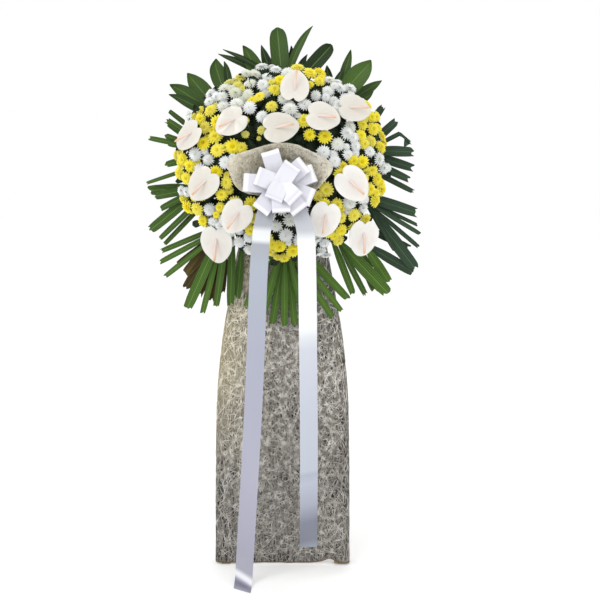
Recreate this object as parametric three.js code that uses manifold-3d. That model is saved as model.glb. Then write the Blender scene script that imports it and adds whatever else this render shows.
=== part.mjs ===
// A standing funeral spray: mums, anthuriums, palm fronds and broad leaves in a foam block
// on a wooden tripod easel, with a fibre skirt, a fibre collar, a satin bow and two tails.
// Millimetres, +Z up, the front faces -Y and the origin is on the floor under the middle.
import * as THREE from 'three';
import { mergeVertices } from 'three/addons/utils/BufferGeometryUtils.js';
import Module from 'manifold-3d';

const wasm = await Module();
wasm.setup();

// The easel leans back, and the stems meet in one point inside the foam, the apex.
const leanAngle = THREE.MathUtils.degToRad(7);
const apexHeight = 1230;

// Gap that pieces keep where they touch
const gap = 0.3;

// Flower dome, measured from the apex: half width, half height, rim and depth.
const dome = { halfWidth: 312, halfHeight: 290, rimOut: 32, depth: 152 };
const bloomSlots = 197;

// One mum: its petals, then heights above its place and radii
const mum = {
  petals: 6, radius: 22, rise: 9, tipRise: 2.5, notchRise: 3, notchShare: 0.62, back: 7, neck: 1.8,
};

// Radii of the main stems, side stems and stalks of a spray, and of the knots where they meet
const sprayStem = { main: 2.4, side: 2, stalkRoom: 1.6, stalk: 1.2, knot: 5, sideKnot: 8 };

// One anthurium: sizes of the spathe, its stem and its spadix
const spathe = { rise: 34, notchBack: 20, thickness: 1.2, cup: 0.0016, droop: 0.0008, room: 39 };
const spadix = { lean: 0.42, start: 10, middle: 42, length: 60, radius: 3.8, tipRadius: 1.2 };
const anthuriumStem = 2.2;

const foam = { width: 230, height: 220, depth: 130, back: -48 };
const tray = { wall: 3, lip: 12 };
const stemStart = 45;

const board = { width: 250, height: 250, thickness: 12, screwUp: -90 };
const leg = { width: 28, thickness: 20, footX: 175, topX: 30, topUp: 178, boltUp: 152 };
const rearLeg = { width: 20, depth: 28, footY: 500 };
const rail = { width: 398, height: 30, thickness: 12, floorHeight: 500 };
const strut = { width: 20, height: 30 };
const nail = { radius: 1.5, headRadius: 3.5, head: 1.2, slack: 0.4 };
const screw = { radius: 2, headRadius: 4, head: 2, slack: 0.4 };
const bolt = { radius: 3, headRadius: 6, head: 4, slack: 0.4 };
const headSides = 7;
const shankSides = 6;

const skirt = { thickness: 2, fold: 44, corner: 7, cornerBack: 8, billow: 5, hemClear: 2 };
const ribbonWidth = 52;
const ribbonThickness = 1;
const tailSteps = 12;

// Share of its width to which a ribbon is gathered at the knot
const knotGather = 0.3;

const colours = {
  wood: 0xb08a5a, bareWood: 0xc2a273, steel: 0x9a9a9c, foam: 0x3f6b3a, tray: 0x1f3a26,
  abaca: 0xb9ac92, satin: 0xe6e6ee, yellow: 0xf2d21f, white: 0xf3f4ee, spathe: 0xf1efea,
  strap: 0x2f6a2a, leaf: 0x2b5c26,
};

const materialOf = (name, roughness = 0.6, metalness = 0) =>
  new THREE.MeshStandardMaterial({ color: colours[name], roughness, metalness });

const materials = {
  wood: materialOf('wood', 0.75),
  bareWood: materialOf('bareWood', 0.8),
  steel: materialOf('steel', 0.35, 1),
  foam: materialOf('foam', 0.95),
  tray: materialOf('tray', 0.5),
  abaca: materialOf('abaca', 0.85),
  satin: materialOf('satin', 0.3),
  yellow: materialOf('yellow', 0.6),
  white: materialOf('white', 0.6),
  spathe: materialOf('spathe', 0.25),
  strap: materialOf('strap', 0.5),
  leaf: materialOf('leaf', 0.45),
};

const floor = new THREE.Group();
const leaning = new THREE.Group();
leaning.rotation.x = -leanAngle;
floor.add(leaning);

// Leaning frame: x to the right, up along the lean, out towards the viewer from the apex.
const at = (x, up, out) => new THREE.Vector3(x, -out, up);
const legFront = foam.back - tray.wall - board.thickness - 3 * gap;
const legMiddle = legFront - leg.thickness / 2;
const legBack = legFront - leg.thickness;
const footDrop = (apexHeight + legFront * Math.sin(leanAngle)) / Math.cos(leanAngle);
const apexBack = legFront * Math.cos(leanAngle) + footDrop * Math.sin(leanAngle);
leaning.position.set(0, apexBack, apexHeight);
leaning.updateMatrixWorld(true);
const toLeaning = (x, y, z) => leaning.worldToLocal(new THREE.Vector3(x, y, z));

// Even, repeatable scatter between 0 and 1 for draw k of item i.
const scatter = (i, k) => {
  const s = Math.sin(i * 12.9898 + k * 78.233) * 43758.5453;
  return s - Math.floor(s);
};
const spread = (i, k, size) => (scatter(i, k) * 2 - 1) * size;

function signedVolume(points, faces) {
  const part = new THREE.Vector3();
  return faces.reduce((sum, [a, b, c]) =>
    sum + points[a].dot(part.crossVectors(points[b], points[c])) / 6, 0);
}

function solidOf(points, faces) {
  const out = signedVolume(points, faces) > 0;
  const triVerts = new Uint32Array(faces.flatMap(([a, b, c]) => (out ? [a, b, c] : [a, c, b])));
  const vertProperties = new Float32Array(points.flatMap((p) => [p.x, p.y, p.z]));
  return new wasm.Manifold(new wasm.Mesh({ numProp: 3, vertProperties, triVerts }));
}

function solidFrom(geometry, matrix) {
  const plain = geometry.clone();
  plain.deleteAttribute('normal');
  plain.deleteAttribute('uv');
  const merged = mergeVertices(plain, 1e-4);
  if (matrix) merged.applyMatrix4(matrix);
  return new wasm.Manifold(new wasm.Mesh({
    numProp: 3,
    vertProperties: new Float32Array(merged.attributes.position.array),
    triVerts: new Uint32Array(merged.index.array),
  }));
}

function addMesh(parent, name, solid, material) {
  const mesh = solid.getMesh();
  const geometry = new THREE.BufferGeometry();
  geometry.setAttribute('position', new THREE.BufferAttribute(mesh.vertProperties, 3));
  geometry.setIndex(new THREE.BufferAttribute(mesh.triVerts, 1));
  geometry.computeVertexNormals();
  const object = new THREE.Mesh(geometry, material);
  object.name = name;
  parent.add(object);
  return object;
}

const fuse = (solids) => solids.reduce((whole, next) => whole.add(next));

// Keeps the main body: a hollow that fusing seals is filled and a loose scrap is dropped.
function mainBody(solid) {
  const bodies = solid.decompose();
  return bodies.reduce((best, next) => (next.volume() > best.volume() ? next : best));
}

// Two directions across an axis, which stay steady from one point of a path to the next.
function across(axis, last) {
  const helper = last ?? (Math.abs(axis.z) < 0.9 ? new THREE.Vector3(0, 0, 1) : new THREE.Vector3(1, 0, 0));
  const side = helper.clone().addScaledVector(axis, -helper.dot(axis)).normalize();
  return [side, new THREE.Vector3().crossVectors(axis, side)];
}

function ringPoints(centre, side, other, radius, sides, phase = 0) {
  return Array.from({ length: sides }, (_, k) => {
    const angle = phase + (2 * Math.PI * k) / sides;
    return centre.clone()
      .addScaledVector(side, radius * Math.cos(angle))
      .addScaledVector(other, radius * Math.sin(angle));
  });
}

// Triangles between two closed rings of points that may differ in count.
function bridge(a, b) {
  const faces = [];
  let i = 0;
  let j = 0;
  while (i < a.length || j < b.length) {
    const stepA = i < a.length && (j >= b.length || (i + 1) / a.length <= (j + 1) / b.length);
    if (stepA) faces.push([a[i], a[(i + 1) % a.length], b[j % b.length]]);
    else faces.push([a[i % a.length], b[(j + 1) % b.length], b[j]]);
    if (stepA) i += 1;
    else j += 1;
  }
  return faces;
}

const fan = (ring) => ring.slice(2).map((_, k) => [ring[0], ring[k + 2], ring[k + 1]]);

// A round rod along a path, with a radius for each point.
function rod(path, radii, sides) {
  const points = [];
  const rings = [];
  let side = null;
  path.forEach((p, k) => {
    const axis = path[Math.min(k + 1, path.length - 1)].clone()
      .sub(path[Math.max(k - 1, 0)]).normalize();
    const frame = across(axis, side);
    [side] = frame;
    rings.push(Array.from({ length: sides }, (_, n) => points.length + n));
    points.push(...ringPoints(p, frame[0], frame[1], radii[k] ?? radii[0], sides));
  });
  const faces = rings.slice(1).flatMap((ring, k) => bridge(rings[k], ring));
  faces.push(...fan(rings[0]));
  faces.push(...fan(rings.at(-1)).map(([a, b, c]) => [a, c, b]));
  return solidOf(points, faces);
}

// A sheet of one thickness from a grid of points. Both faces are split alike.
// wrap closes the second direction, as round a cup.
function sheet(grid, thickness, wrap = false) {
  const rows = grid.length;
  const columns = grid[0].length;
  const pick = (i, j) => grid[Math.min(Math.max(i, 0), rows - 1)][
    wrap ? (j + columns) % columns : Math.min(Math.max(j, 0), columns - 1)];
  const points = [];
  [1, -1].forEach((face) => grid.forEach((row, i) => row.forEach((p, j) => {
    const along = pick(i + 1, j).clone().sub(pick(i - 1, j));
    const over = pick(i, j + 1).clone().sub(pick(i, j - 1));
    const normal = along.cross(over).normalize();
    points.push(p.clone().addScaledVector(normal, (face * thickness) / 2));
  })));
  const index = (face, i, j) => face * rows * columns + i * columns + (j % columns);
  const quad = (a, b, c, d) => [[a, b, c], [a, c, d]];
  const faces = [];
  const span = wrap ? columns : columns - 1;
  for (let i = 0; i < rows - 1; i += 1) {
    for (let j = 0; j < span; j += 1) {
      const corner = (face) => [index(face, i, j), index(face, i + 1, j),
        index(face, i + 1, j + 1), index(face, i, j + 1)];
      faces.push(...quad(...corner(0)));
      faces.push(...quad(...corner(1)).map(([a, b, c]) => [a, c, b]));
    }
  }
  for (let j = 0; j < span; j += 1) {
    faces.push(...quad(index(0, 0, j), index(0, 0, j + 1), index(1, 0, j + 1), index(1, 0, j)));
    faces.push(...quad(index(0, rows - 1, j + 1), index(0, rows - 1, j),
      index(1, rows - 1, j), index(1, rows - 1, j + 1)));
  }
  for (let i = 0; !wrap && i < rows - 1; i += 1) {
    faces.push(...quad(index(0, i + 1, 0), index(0, i, 0), index(1, i, 0), index(1, i + 1, 0)));
    faces.push(...quad(index(0, i, columns - 1), index(0, i + 1, columns - 1),
      index(1, i + 1, columns - 1), index(1, i, columns - 1)));
  }
  return solidOf(points, faces);
}

// Timber and fasteners
const box = (low, high) => {
  const size = high.clone().sub(low);
  const middle = low.clone().add(high).multiplyScalar(0.5);
  const matrix = new THREE.Matrix4().makeTranslation(middle.x, middle.y, middle.z);
  return solidFrom(new THREE.BoxGeometry(Math.abs(size.x), Math.abs(size.y), Math.abs(size.z)), matrix);
};

function batten(from, to, width, depth) {
  const axis = to.clone().sub(from);
  const length = axis.length();
  axis.normalize();
  const depthWay = new THREE.Vector3(0, 1, 0).addScaledVector(axis, -axis.y).normalize();
  const widthWay = new THREE.Vector3().crossVectors(depthWay, axis);
  const middle = from.clone().add(to).multiplyScalar(0.5);
  const matrix = new THREE.Matrix4().makeBasis(widthWay, depthWay, axis).setPosition(middle);
  return solidFrom(new THREE.BoxGeometry(width, depth, length), matrix);
}

function belowFloor(clear) {
  const slab = new THREE.BoxGeometry(2000, 3000, 600);
  slab.translate(0, 0, clear - 300);
  return solidFrom(slab, leaning.matrixWorld.clone().invert());
}

// A pin with a head at its start, and the hole that it needs.
function pin(start, end, shape) {
  const axis = end.clone().sub(start).normalize();
  const headTop = start.clone().addScaledVector(axis, -shape.head);
  const head = rod([headTop, start], [shape.headRadius], headSides);
  const shank = rod([start.clone().addScaledVector(axis, -shape.head / 2), end], [shape.radius],
    shankSides);
  const deep = end.clone().addScaledVector(axis, 1);
  const early = start.clone().addScaledVector(axis, -1);
  const hole = rod([early, deep], [shape.radius + shape.slack], shankSides);
  return { solid: head.add(shank), hole };
}

const cut = (solid, pins) => pins.reduce((rest, p) => rest.subtract(p.hole), solid);

function buildStand() {
  const floorCut = belowFloor(0);
  const footUp = -apexHeight / Math.cos(leanAngle) - 20;
  const legLine = (up) => leg.topX
    + ((leg.footX - leg.topX) * (leg.topUp - up)) / (leg.topUp + apexHeight);
  const frontLeg = (side) => batten(at(side * legLine(footUp), footUp, legMiddle),
    at(side * leg.topX, leg.topUp, legMiddle), leg.width, leg.thickness).subtract(floorCut);

  const boltAt = at(0, leg.boltUp, legMiddle);
  const rearFoot = toLeaning(0, rearLeg.footY, 0);
  const rearWay = rearFoot.clone().sub(boltAt).normalize();
  const rear = batten(rearFoot.clone().addScaledVector(rearWay, 30),
    boltAt.clone().addScaledVector(rearWay, -26), rearLeg.width, rearLeg.depth).subtract(floorCut);

  const railUp = toLeaning(0, 0, rail.floorHeight).z;
  const railFront = legBack - gap;
  const railBack = railFront - rail.thickness;
  const railSolid = box(at(-rail.width / 2, railUp - rail.height / 2, railFront),
    at(rail.width / 2, railUp + rail.height / 2, railBack));

  const boardBack = legFront + gap;
  const boardFront = boardBack + board.thickness;
  const boardSolid = box(at(-board.width / 2, -board.height / 2, boardBack),
    at(board.width / 2, board.height / 2, boardFront));

  // The strut runs level from the rail to the side of the rear leg.
  const strutX = rearLeg.width / 2 + gap + strut.width / 2;
  const strutStart = at(strutX, railUp, railBack + 40);
  const strutWorld = leaning.localToWorld(strutStart.clone());
  const rearShare = (apexHeight - rail.floorHeight) / apexHeight;
  const boltWorld = leaning.localToWorld(boltAt.clone());
  const rearY = boltWorld.y + (rearLeg.footY - boltWorld.y)
    * ((boltWorld.z - strutWorld.z) / boltWorld.z);
  const strutEnd = toLeaning(strutX, rearY + 24, strutWorld.z);
  const railRoom = box(at(-300, railUp - 100, railBack - gap), at(300, railUp + 100, railBack + 200));
  const strutSolid = batten(strutStart, strutEnd, strut.width, strut.height).subtract(railRoom);

  const boltHalf = leg.topX + leg.width / 2 + 5;
  const onBolt = (x) => at(x, leg.boltUp, legMiddle);
  const apexBolt = pin(onBolt(-boltHalf), onBolt(boltHalf + bolt.head + 2), bolt);
  const nut = rod([onBolt(boltHalf), onBolt(boltHalf + bolt.head)], [bolt.headRadius], shankSides);

  const boardPins = [-1, 1].map((side) => {
    const x = side * legLine(board.screwUp);
    return pin(at(x, board.screwUp, legBack - gap), at(x, board.screwUp, boardFront - 3), screw);
  });
  const railPins = [-1, 1].map((side) => {
    const x = side * legLine(railUp);
    return pin(at(x, railUp, railBack - gap), at(x, railUp, legFront - 4), nail);
  });
  const strutFrontPin = pin(at(strutX, railUp, railFront + gap),
    at(strutX, railUp, railBack - 28), nail);
  const rearSpot = toLeaning(0, rearY, strutWorld.z);
  const strutFace = strutX + strut.width / 2 + gap;
  const strutRearPin = pin(new THREE.Vector3(strutFace, rearSpot.y, rearSpot.z),
    new THREE.Vector3(-4, rearSpot.y, rearSpot.z), nail);

  const put = (name, solid, material) => addMesh(leaning, name, solid, material);
  put('leg_front_left', cut(frontLeg(-1), [apexBolt, boardPins[0], railPins[0]]), materials.wood);
  put('leg_front_right', cut(frontLeg(1), [apexBolt, boardPins[1], railPins[1]]), materials.wood);
  put('leg_rear', cut(rear, [apexBolt, strutRearPin]), materials.wood);
  put('rail_lower', cut(railSolid, [...railPins, strutFrontPin]), materials.wood);
  put('rear_strut', cut(strutSolid, [strutFrontPin, strutRearPin]), materials.wood);
  put('head_board', cut(boardSolid, boardPins), materials.bareWood);
  put('apex_bolt', apexBolt.solid.add(nut), materials.steel);
  put('board_screw_left', boardPins[0].solid, materials.steel);
  put('board_screw_right', boardPins[1].solid, materials.steel);
  put('rail_nail_left', railPins[0].solid, materials.steel);
  put('rail_nail_right', railPins[1].solid, materials.steel);
  put('strut_nail_front', strutFrontPin.solid, materials.steel);
  put('strut_nail_rear', strutRearPin.solid, materials.steel);
}

// The foam block gets a plain hole for each stem, pick and frond that stands in it.
const foamHoles = [];

function buildFoam() {
  const front = foam.back + foam.depth;
  const block = box(at(-foam.width / 2, -foam.height / 2, foam.back),
    at(foam.width / 2, foam.height / 2, front));
  const holed = mainBody(foamHoles.reduce((solid, hole) => solid.subtract(hole), block));
  addMesh(leaning, 'foam_block', holed, materials.foam);

  const roomX = foam.width / 2 + gap;
  const roomUp = foam.height / 2 + gap;
  const trayBack = foam.back - gap - tray.wall;
  const outer = box(at(-roomX - tray.wall, -roomUp - tray.wall, trayBack),
    at(roomX + tray.wall, roomUp + tray.wall, trayBack + tray.lip));
  const room = box(at(-roomX, -roomUp, foam.back - gap), at(roomX, roomUp, front));
  addMesh(leaning, 'foam_tray', outer.subtract(room), materials.tray);
}

function outsideFoam(direction, clear) {
  const front = foam.back + foam.depth;
  const reach = Math.min(
    foam.width / 2 / Math.max(Math.abs(direction.x), 1e-6),
    foam.height / 2 / Math.max(Math.abs(direction.z), 1e-6),
    front / Math.max(-direction.y, 1e-6),
  );
  return reach + clear;
}

const stemSides = 4;

function holeFor(start, end, radius, slack = 0.5) {
  const axis = end.clone().sub(start).normalize();
  foamHoles.push(rod([start.clone().addScaledVector(axis, -slack), end], [radius + slack], stemSides));
}

// A side stem that cuts through a corner of the block gets its hole too.
function holesAlong(path, radius) {
  const clear = radius + 2;
  const tests = 40;
  const inside = (p) => Math.abs(p.x) < foam.width / 2 + clear
    && Math.abs(p.z) < foam.height / 2 + clear
    && -p.y < foam.back + foam.depth + clear && -p.y > foam.back - clear;
  path.slice(1).forEach((end, k) => {
    const spots = Array.from({ length: tests + 1 }, (_, n) => path[k].clone().lerp(end, n / tests));
    if (spots.some(inside)) holeFor(path[k], end, radius, 1);
  });
}

// Stems that are already placed, so that later ones can be bent clear of them.
const placedStems = [];

function segmentDistance(p1, q1, p2, q2) {
  const d1 = q1.clone().sub(p1);
  const d2 = q2.clone().sub(p2);
  const r = p1.clone().sub(p2);
  const a = d1.dot(d1);
  const e = d2.dot(d2);
  const f = d2.dot(r);
  const c = d1.dot(r);
  const b = d1.dot(d2);
  const denom = a * e - b * b;
  const clamp = (v) => THREE.MathUtils.clamp(v, 0, 1);
  let s = denom > 1e-9 ? clamp((b * f - c * e) / denom) : 0;
  let t = (b * s + f) / e;
  if (t < 0) {
    t = 0;
    s = clamp(-c / a);
  } else if (t > 1) {
    t = 1;
    s = clamp((b - c) / a);
  }
  return p1.clone().addScaledVector(d1, s).distanceTo(p2.clone().addScaledVector(d2, t));
}

const roomAround = (path, radius, owner) => placedStems.reduce((least, stem) => {
  if (stem.owner === owner) return least;
  let near = least;
  for (let i = 1; i < path.length; i += 1) {
    for (let j = 1; j < stem.path.length; j += 1) {
      const d = segmentDistance(path[i - 1], path[i], stem.path[j - 1], stem.path[j]);
      near = Math.min(near, d - radius - stem.radius);
    }
  }
  return near;
}, Infinity);

function placeStem(path, radius, owner) {
  placedStems.push({ path, radius, owner });
  return path;
}

// A stem from one point to another, bent at its middle where it would touch another one.
function clearPath(from, to, radius, owner) {
  const straight = [from, to];
  let best = straight;
  let bestRoom = roomAround(straight, radius, owner);
  const [side, other] = across(to.clone().sub(from).normalize());
  for (let size = 6; size <= 36 && bestRoom < 0.8; size += 6) {
    for (let k = 0; k < 8 && bestRoom < 0.8; k += 1) {
      const angle = (k * Math.PI) / 4;
      [0.35, 0.5, 0.65].forEach((share) => {
        const middle = from.clone().lerp(to, share)
          .addScaledVector(side, size * Math.cos(angle))
          .addScaledVector(other, size * Math.sin(angle));
        const room = roomAround([from, middle, to], radius, owner);
        if (room > bestRoom) {
          best = [from, middle, to];
          bestRoom = room;
        }
      });
    }
  }
  return placeStem(best, radius, owner);
}

function domePoint(x, up) {
  const rho2 = Math.min((x / dome.halfWidth) ** 2 + (up / dome.halfHeight) ** 2, 0.985);
  return at(x, up, dome.rimOut + dome.depth * Math.sqrt(1 - rho2));
}

// Outward direction on the dome, turned part of the way to the viewer.
function domeNormal(p, towardsViewer) {
  const normal = new THREE.Vector3(p.x / dome.halfWidth ** 2,
    (p.y + dome.rimOut) / dome.depth ** 2, p.z / dome.halfHeight ** 2).normalize();
  return normal.lerp(new THREE.Vector3(0, -1, 0), towardsViewer).normalize();
}

// Anthuriums: place of the face, way its tip points in degrees, tilt to the viewer and size
const anthuriums = [
  [39, 207, 83, 0.55, 0.95],
  [-145, 97, 212, 0.55, 0.92],
  [-258, 62, 207, 0.05, 0.95],
  [1, 81, 7, 0.6, 1.0],
  [121, 113, -12, 0.6, 0.95],
  [209, 142, -6, 0.5, 0.95],
  [-225, -77, 229, 0.55, 1.0],
  [-130, -169, 236, 0.5, 1.0],
  [-186, -238, 264, 0.6, 1.12],
  [205, -78, -46, 0.6, 1.06],
  [122, -177, 258, 0.52, 1.0],
  [234, -222, 269, 0.65, 1.05],
];

// Half of the heart outline: angle from the tip and distance from the notch
const heart = [[0, 72], [28, 60], [60, 49], [95, 44], [130, 41], [160, 33], [180, 10]];

function anthuriumFace([x, up, tipDegrees, towardsViewer, scale]) {
  const foot = domePoint(x, up);
  const normal = domeNormal(foot, towardsViewer);
  const face = foot.clone().addScaledVector(normal, spathe.rise);
  const turn = THREE.MathUtils.degToRad(tipDegrees);
  const way = at(Math.cos(turn), Math.sin(turn), 0);
  const tip = way.addScaledVector(normal, -way.dot(normal)).normalize();
  const side = new THREE.Vector3().crossVectors(normal, tip);
  const notch = face.clone().addScaledVector(tip, -spathe.notchBack * scale);
  return { foot, normal, face, tip, side, notch, scale };
}

function buildAnthurium(spec, number) {
  const { foot, normal, face, tip, side, notch, scale } = anthuriumFace(spec);
  const name = `anthurium_${String(number + 1).padStart(2, '0')}`;
  const outline = [...heart, ...heart.slice(1, -1).reverse().map(([a, r]) => [-a, r])];
  const edge = outline.map(([degrees, r]) => {
    const angle = THREE.MathUtils.degToRad(degrees);
    const reach = r * scale;
    const cup = reach ** 2 * (spathe.cup * Math.abs(Math.sin(angle))
      - spathe.droop * Math.max(Math.cos(angle), 0));
    return notch.clone().addScaledVector(tip, reach * Math.cos(angle))
      .addScaledVector(side, reach * Math.sin(angle)).addScaledVector(normal, cup);
  });
  const blade = roundSheet(face, normal, edge, spathe.thickness);
  const spadixWay = tip.clone().addScaledVector(normal, spadix.lean).normalize();
  const spadixAt = (d) => notch.clone().addScaledVector(spadixWay, d * scale);

  const neck = foot.clone().addScaledVector(normal, -6);
  const way = neck.clone().normalize();
  const start = way.clone().multiplyScalar(stemStart);
  const path = placeStem([start, neck, notch.clone().addScaledVector(normal, -1)], anthuriumStem, name);
  holeFor(start, way.clone().multiplyScalar(outsideFoam(way, 20)), anthuriumStem);
  const spots = [...path, spadixAt(spadix.start), spadixAt(spadix.middle), spadixAt(spadix.length)];
  const thin = anthuriumStem - 0.2;
  const radii = [anthuriumStem, thin, thin, spadix.radius, spadix.radius - 0.2, spadix.tipRadius];
  addMesh(leaning, name, mainBody(blade.add(rod(spots, radii, stemSides))), materials.spathe);
}

// A thin round sheet from its middle and its edge.
function roundSheet(middle, normal, edge, thickness) {
  const points = [0.5, -0.5].flatMap((share) => [middle, ...edge].map((p) =>
    p.clone().addScaledVector(normal, share * thickness)));
  const half = edge.length + 1;
  const faces = edge.flatMap((_, k) => {
    const [near, next] = [k + 1, ((k + 1) % edge.length) + 1];
    const [backNear, backNext] = [half + near, half + next];
    return [[0, near, next], [half, backNext, backNear], [near, backNear, backNext],
      [near, backNext, next]];
  });
  return solidOf(points, faces);
}

// Sprays of mums: colour, then for each fork of the stem the middles of the patches it fills
const sprays = [
  ['spray_yellow_top', 'yellow', [[[-127, 229]], [[-7, 208], [-41, 175]], [[88, 259]]]],
  ['spray_yellow_upper_left', 'yellow', [[[-106, 74], [-91, 100]]]],
  ['spray_yellow_left', 'yellow', [[[-227, 68], [-180, 36], [-200, 110]], [[-311, 36]]]],
  ['spray_yellow_lower_left', 'yellow', [[[-290, -38]], [[-265, -118], [-260, -169], [-257, -206]]]],
  ['spray_yellow_inner_left', 'yellow', [[[-171, -52], [-187, -98], [-188, -132]], [[-91, -187]]]],
  ['spray_yellow_upper_right', 'yellow', [[[60, 86], [95, 77], [127, 69], [66, 50]]]],
  ['spray_yellow_right', 'yellow', [[[252, 103], [285, 105], [253, 57]], [[247, -3], [265, -45]]]],
  ['spray_yellow_lower_right', 'yellow',
    [[[145, -59], [151, -103]], [[286, -111]], [[185, -141], [196, -175]]]],
  ['spray_yellow_bottom', 'yellow', [[[158, -225], [178, -248]], [[-15, -233], [-1, -267]]]],
  ['spray_white_upper_left', 'white', [[[-147, 180], [-179, 187]], [[-278, 96], [-273, 41]]]],
  ['spray_white_top', 'white', [[[-66, 212]], [[-8, 273]], [[28, 156]], [[-86, 142]]]],
  ['spray_white_upper_right', 'white', [[[120, 188], [148, 227]], [[166, 121]]]],
  ['spray_white_right', 'white', [[[184, 66], [213, 25], [157, -3]], [[244, 25], [308, -5]]]],
  ['spray_white_left', 'white', [[[-183, -8], [-224, -11]], [[-302, -91]]]],
  ['spray_white_lower_left', 'white', [[[-195, -163]], [[-119, -255], [-69, -266]]]],
  ['spray_white_bottom', 'white', [[[10, -198]], [[71, -266], [110, -250]], [[216, -123]]]],
];

// Fibre collar behind the bow
const collar = { x: -6, up: -43, halfWidth: 150, halfHeight: 77, sides: 18, thickness: 2 };

function bloomPlaces() {
  const faces = anthuriums.map(anthuriumFace);
  const golden = Math.PI * (3 - Math.sqrt(5));
  const places = [];
  for (let i = 0; i < bloomSlots; i += 1) {
    const t = (i + 0.5) / bloomSlots;
    const rho = Math.sqrt(1.5 * t - 0.5 * t * t);
    const x = rho * dome.halfWidth * Math.cos(i * golden) + spread(i, 1, 1.5);
    const up = rho * dome.halfHeight * Math.sin(i * golden) + spread(i, 2, 1.5);
    const centre = domePoint(x, up);
    const underCollar = ((x - collar.x) / (collar.halfWidth + 12)) ** 2
      + ((up - collar.up) / (collar.halfHeight + 14)) ** 2 < 1;
    const underSpathe = faces.some((f) => f.foot.distanceTo(centre) < spathe.room * f.scale);
    if (!underCollar && !underSpathe) places.push({ slot: i, centre });
  }
  places.forEach((place) => {
    let best = Infinity;
    sprays.forEach(([name, , forks]) => forks.forEach((fork, k) => fork.forEach(([x, up]) => {
      const d = Math.hypot(place.centre.x - x, place.centre.z - up);
      if (d < best) {
        best = d;
        place.spray = name;
        place.fork = k;
      }
    })));
  });
  places.forEach((place) => {
    const near = Math.min(...places.filter((p) => p !== place)
      .map((p) => p.centre.distanceTo(place.centre)));
    place.radius = Math.min(mum.radius, near * 0.5 - 0.5);
    place.normal = domeNormal(place.centre, 0.25);
    place.normal.x += spread(place.slot, 3, 0.16);
    place.normal.z += spread(place.slot, 4, 0.16);
    place.normal.normalize();
  });
  return places;
}

// One mum: a raised middle, a ring of petals with notches between them and its stalk
function bloomSolid(place, path) {
  const [side, other] = across(place.normal);
  const spin = scatter(place.slot, 5) * 2 * Math.PI;
  const level = (h) => place.centre.clone().addScaledVector(place.normal, h);
  const points = [level(mum.rise)];
  const ring = (list) => {
    const ids = list.map((_, k) => points.length + k);
    points.push(...list);
    return ids;
  };
  const rim = ring(Array.from({ length: 2 * mum.petals }, (_, k) => {
    const tip = k % 2 === 0;
    const reach = place.radius * (tip ? 1 : mum.notchShare);
    const angle = spin + (Math.PI * k) / mum.petals;
    return ringPoints(level(tip ? mum.tipRise : mum.notchRise), side, other, reach, 1, angle)[0];
  }));
  const stalkSides = 3;
  const stalk = [ring(ringPoints(level(-mum.back), side, other, mum.neck, stalkSides, spin))];
  let last = side;
  path.slice(1).forEach((p, k) => {
    const way = (path[k + 2] ?? p).clone().sub(path[k]).normalize().negate();
    const frame = across(way, last);
    [last] = frame;
    stalk.push(ring(ringPoints(p, frame[0], frame[1], sprayStem.stalk, stalkSides, spin)));
  });
  const faces = rim.map((id, k) => [0, rim[(k + 1) % rim.length], id]);
  faces.push(...bridge(rim, stalk[0]));
  stalk.slice(1).forEach((next, k) => faces.push(...bridge(stalk[k], next)));
  faces.push(...fan(stalk.at(-1)).map(([a, b, c]) => [a, c, b]));
  return solidOf(points, faces);
}

// Side stems and stalks meet in small knots.
const knotSolid = (centre, radius) => {
  const matrix = new THREE.Matrix4().makeTranslation(centre.x, centre.y, centre.z);
  return solidFrom(new THREE.OctahedronGeometry(radius), matrix);
};

const middleOf = (places) => places
  .reduce((sum, p) => sum.add(p.centre), new THREE.Vector3()).divideScalar(places.length);

// Clearances of the main knot and of the side knots from the foam's faces
const knotClear = { main: 17, side: 22 };

// Share of the way to its blooms at which a side stem ends
const sideStemShare = 0.66;

function buildSprays() {
  const places = bloomPlaces();
  const plans = sprays.map(([name, colour, forks]) => {
    const own = places.filter((p) => p.spray === name);
    const way = middleOf(own).normalize();
    const start = way.clone().multiplyScalar(stemStart);
    const fork = way.clone().multiplyScalar(outsideFoam(way, knotClear.main));
    return { name, colour, own, start, fork, forkCount: forks.length };
  });
  plans.forEach((plan) => placeStem([plan.start, plan.fork], sprayStem.main, plan.name));
  plans.forEach((plan) => {
    const main = rod([plan.start, plan.fork], [sprayStem.main], stemSides);
    holeFor(plan.start, plan.fork, sprayStem.main);
    plan.pieces = [main, knotSolid(plan.fork, sprayStem.knot)];
    plan.forks = Array.from({ length: plan.forkCount }, (_, k) => {
      const own = plan.own.filter((p) => p.fork === k);
      if (own.length === 0) return null;
      const middle = middleOf(own);
      const way = middle.clone().normalize();
      const reach = Math.max(middle.length() * sideStemShare, outsideFoam(way, knotClear.side));
      const end = way.multiplyScalar(reach);
      const path = clearPath(plan.fork, end, sprayStem.side, plan.name);
      holesAlong(path, sprayStem.side);
      plan.pieces.push(rod(path, [sprayStem.side], stemSides), knotSolid(end, sprayStem.sideKnot));
      return { own, end };
    }).filter(Boolean);
  });
  plans.forEach((plan) => {
    plan.forks.forEach(({ own, end }) => own.forEach((place) => {
      const foot = place.centre.clone().addScaledVector(place.normal, -mum.back);
      const path = clearPath(foot, end, sprayStem.stalkRoom, plan.name);
      const last = path.at(-2).clone().sub(end).normalize();
      path[path.length - 1] = end.clone().addScaledVector(last, sprayStem.sideKnot / 2);
      holesAlong(path, sprayStem.stalkRoom);
      plan.pieces.push(bloomSolid(place, path));
    }));
    addMesh(leaning, plan.name, mainBody(fuse(plan.pieces)), materials[plan.colour]);
  });
}

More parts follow.
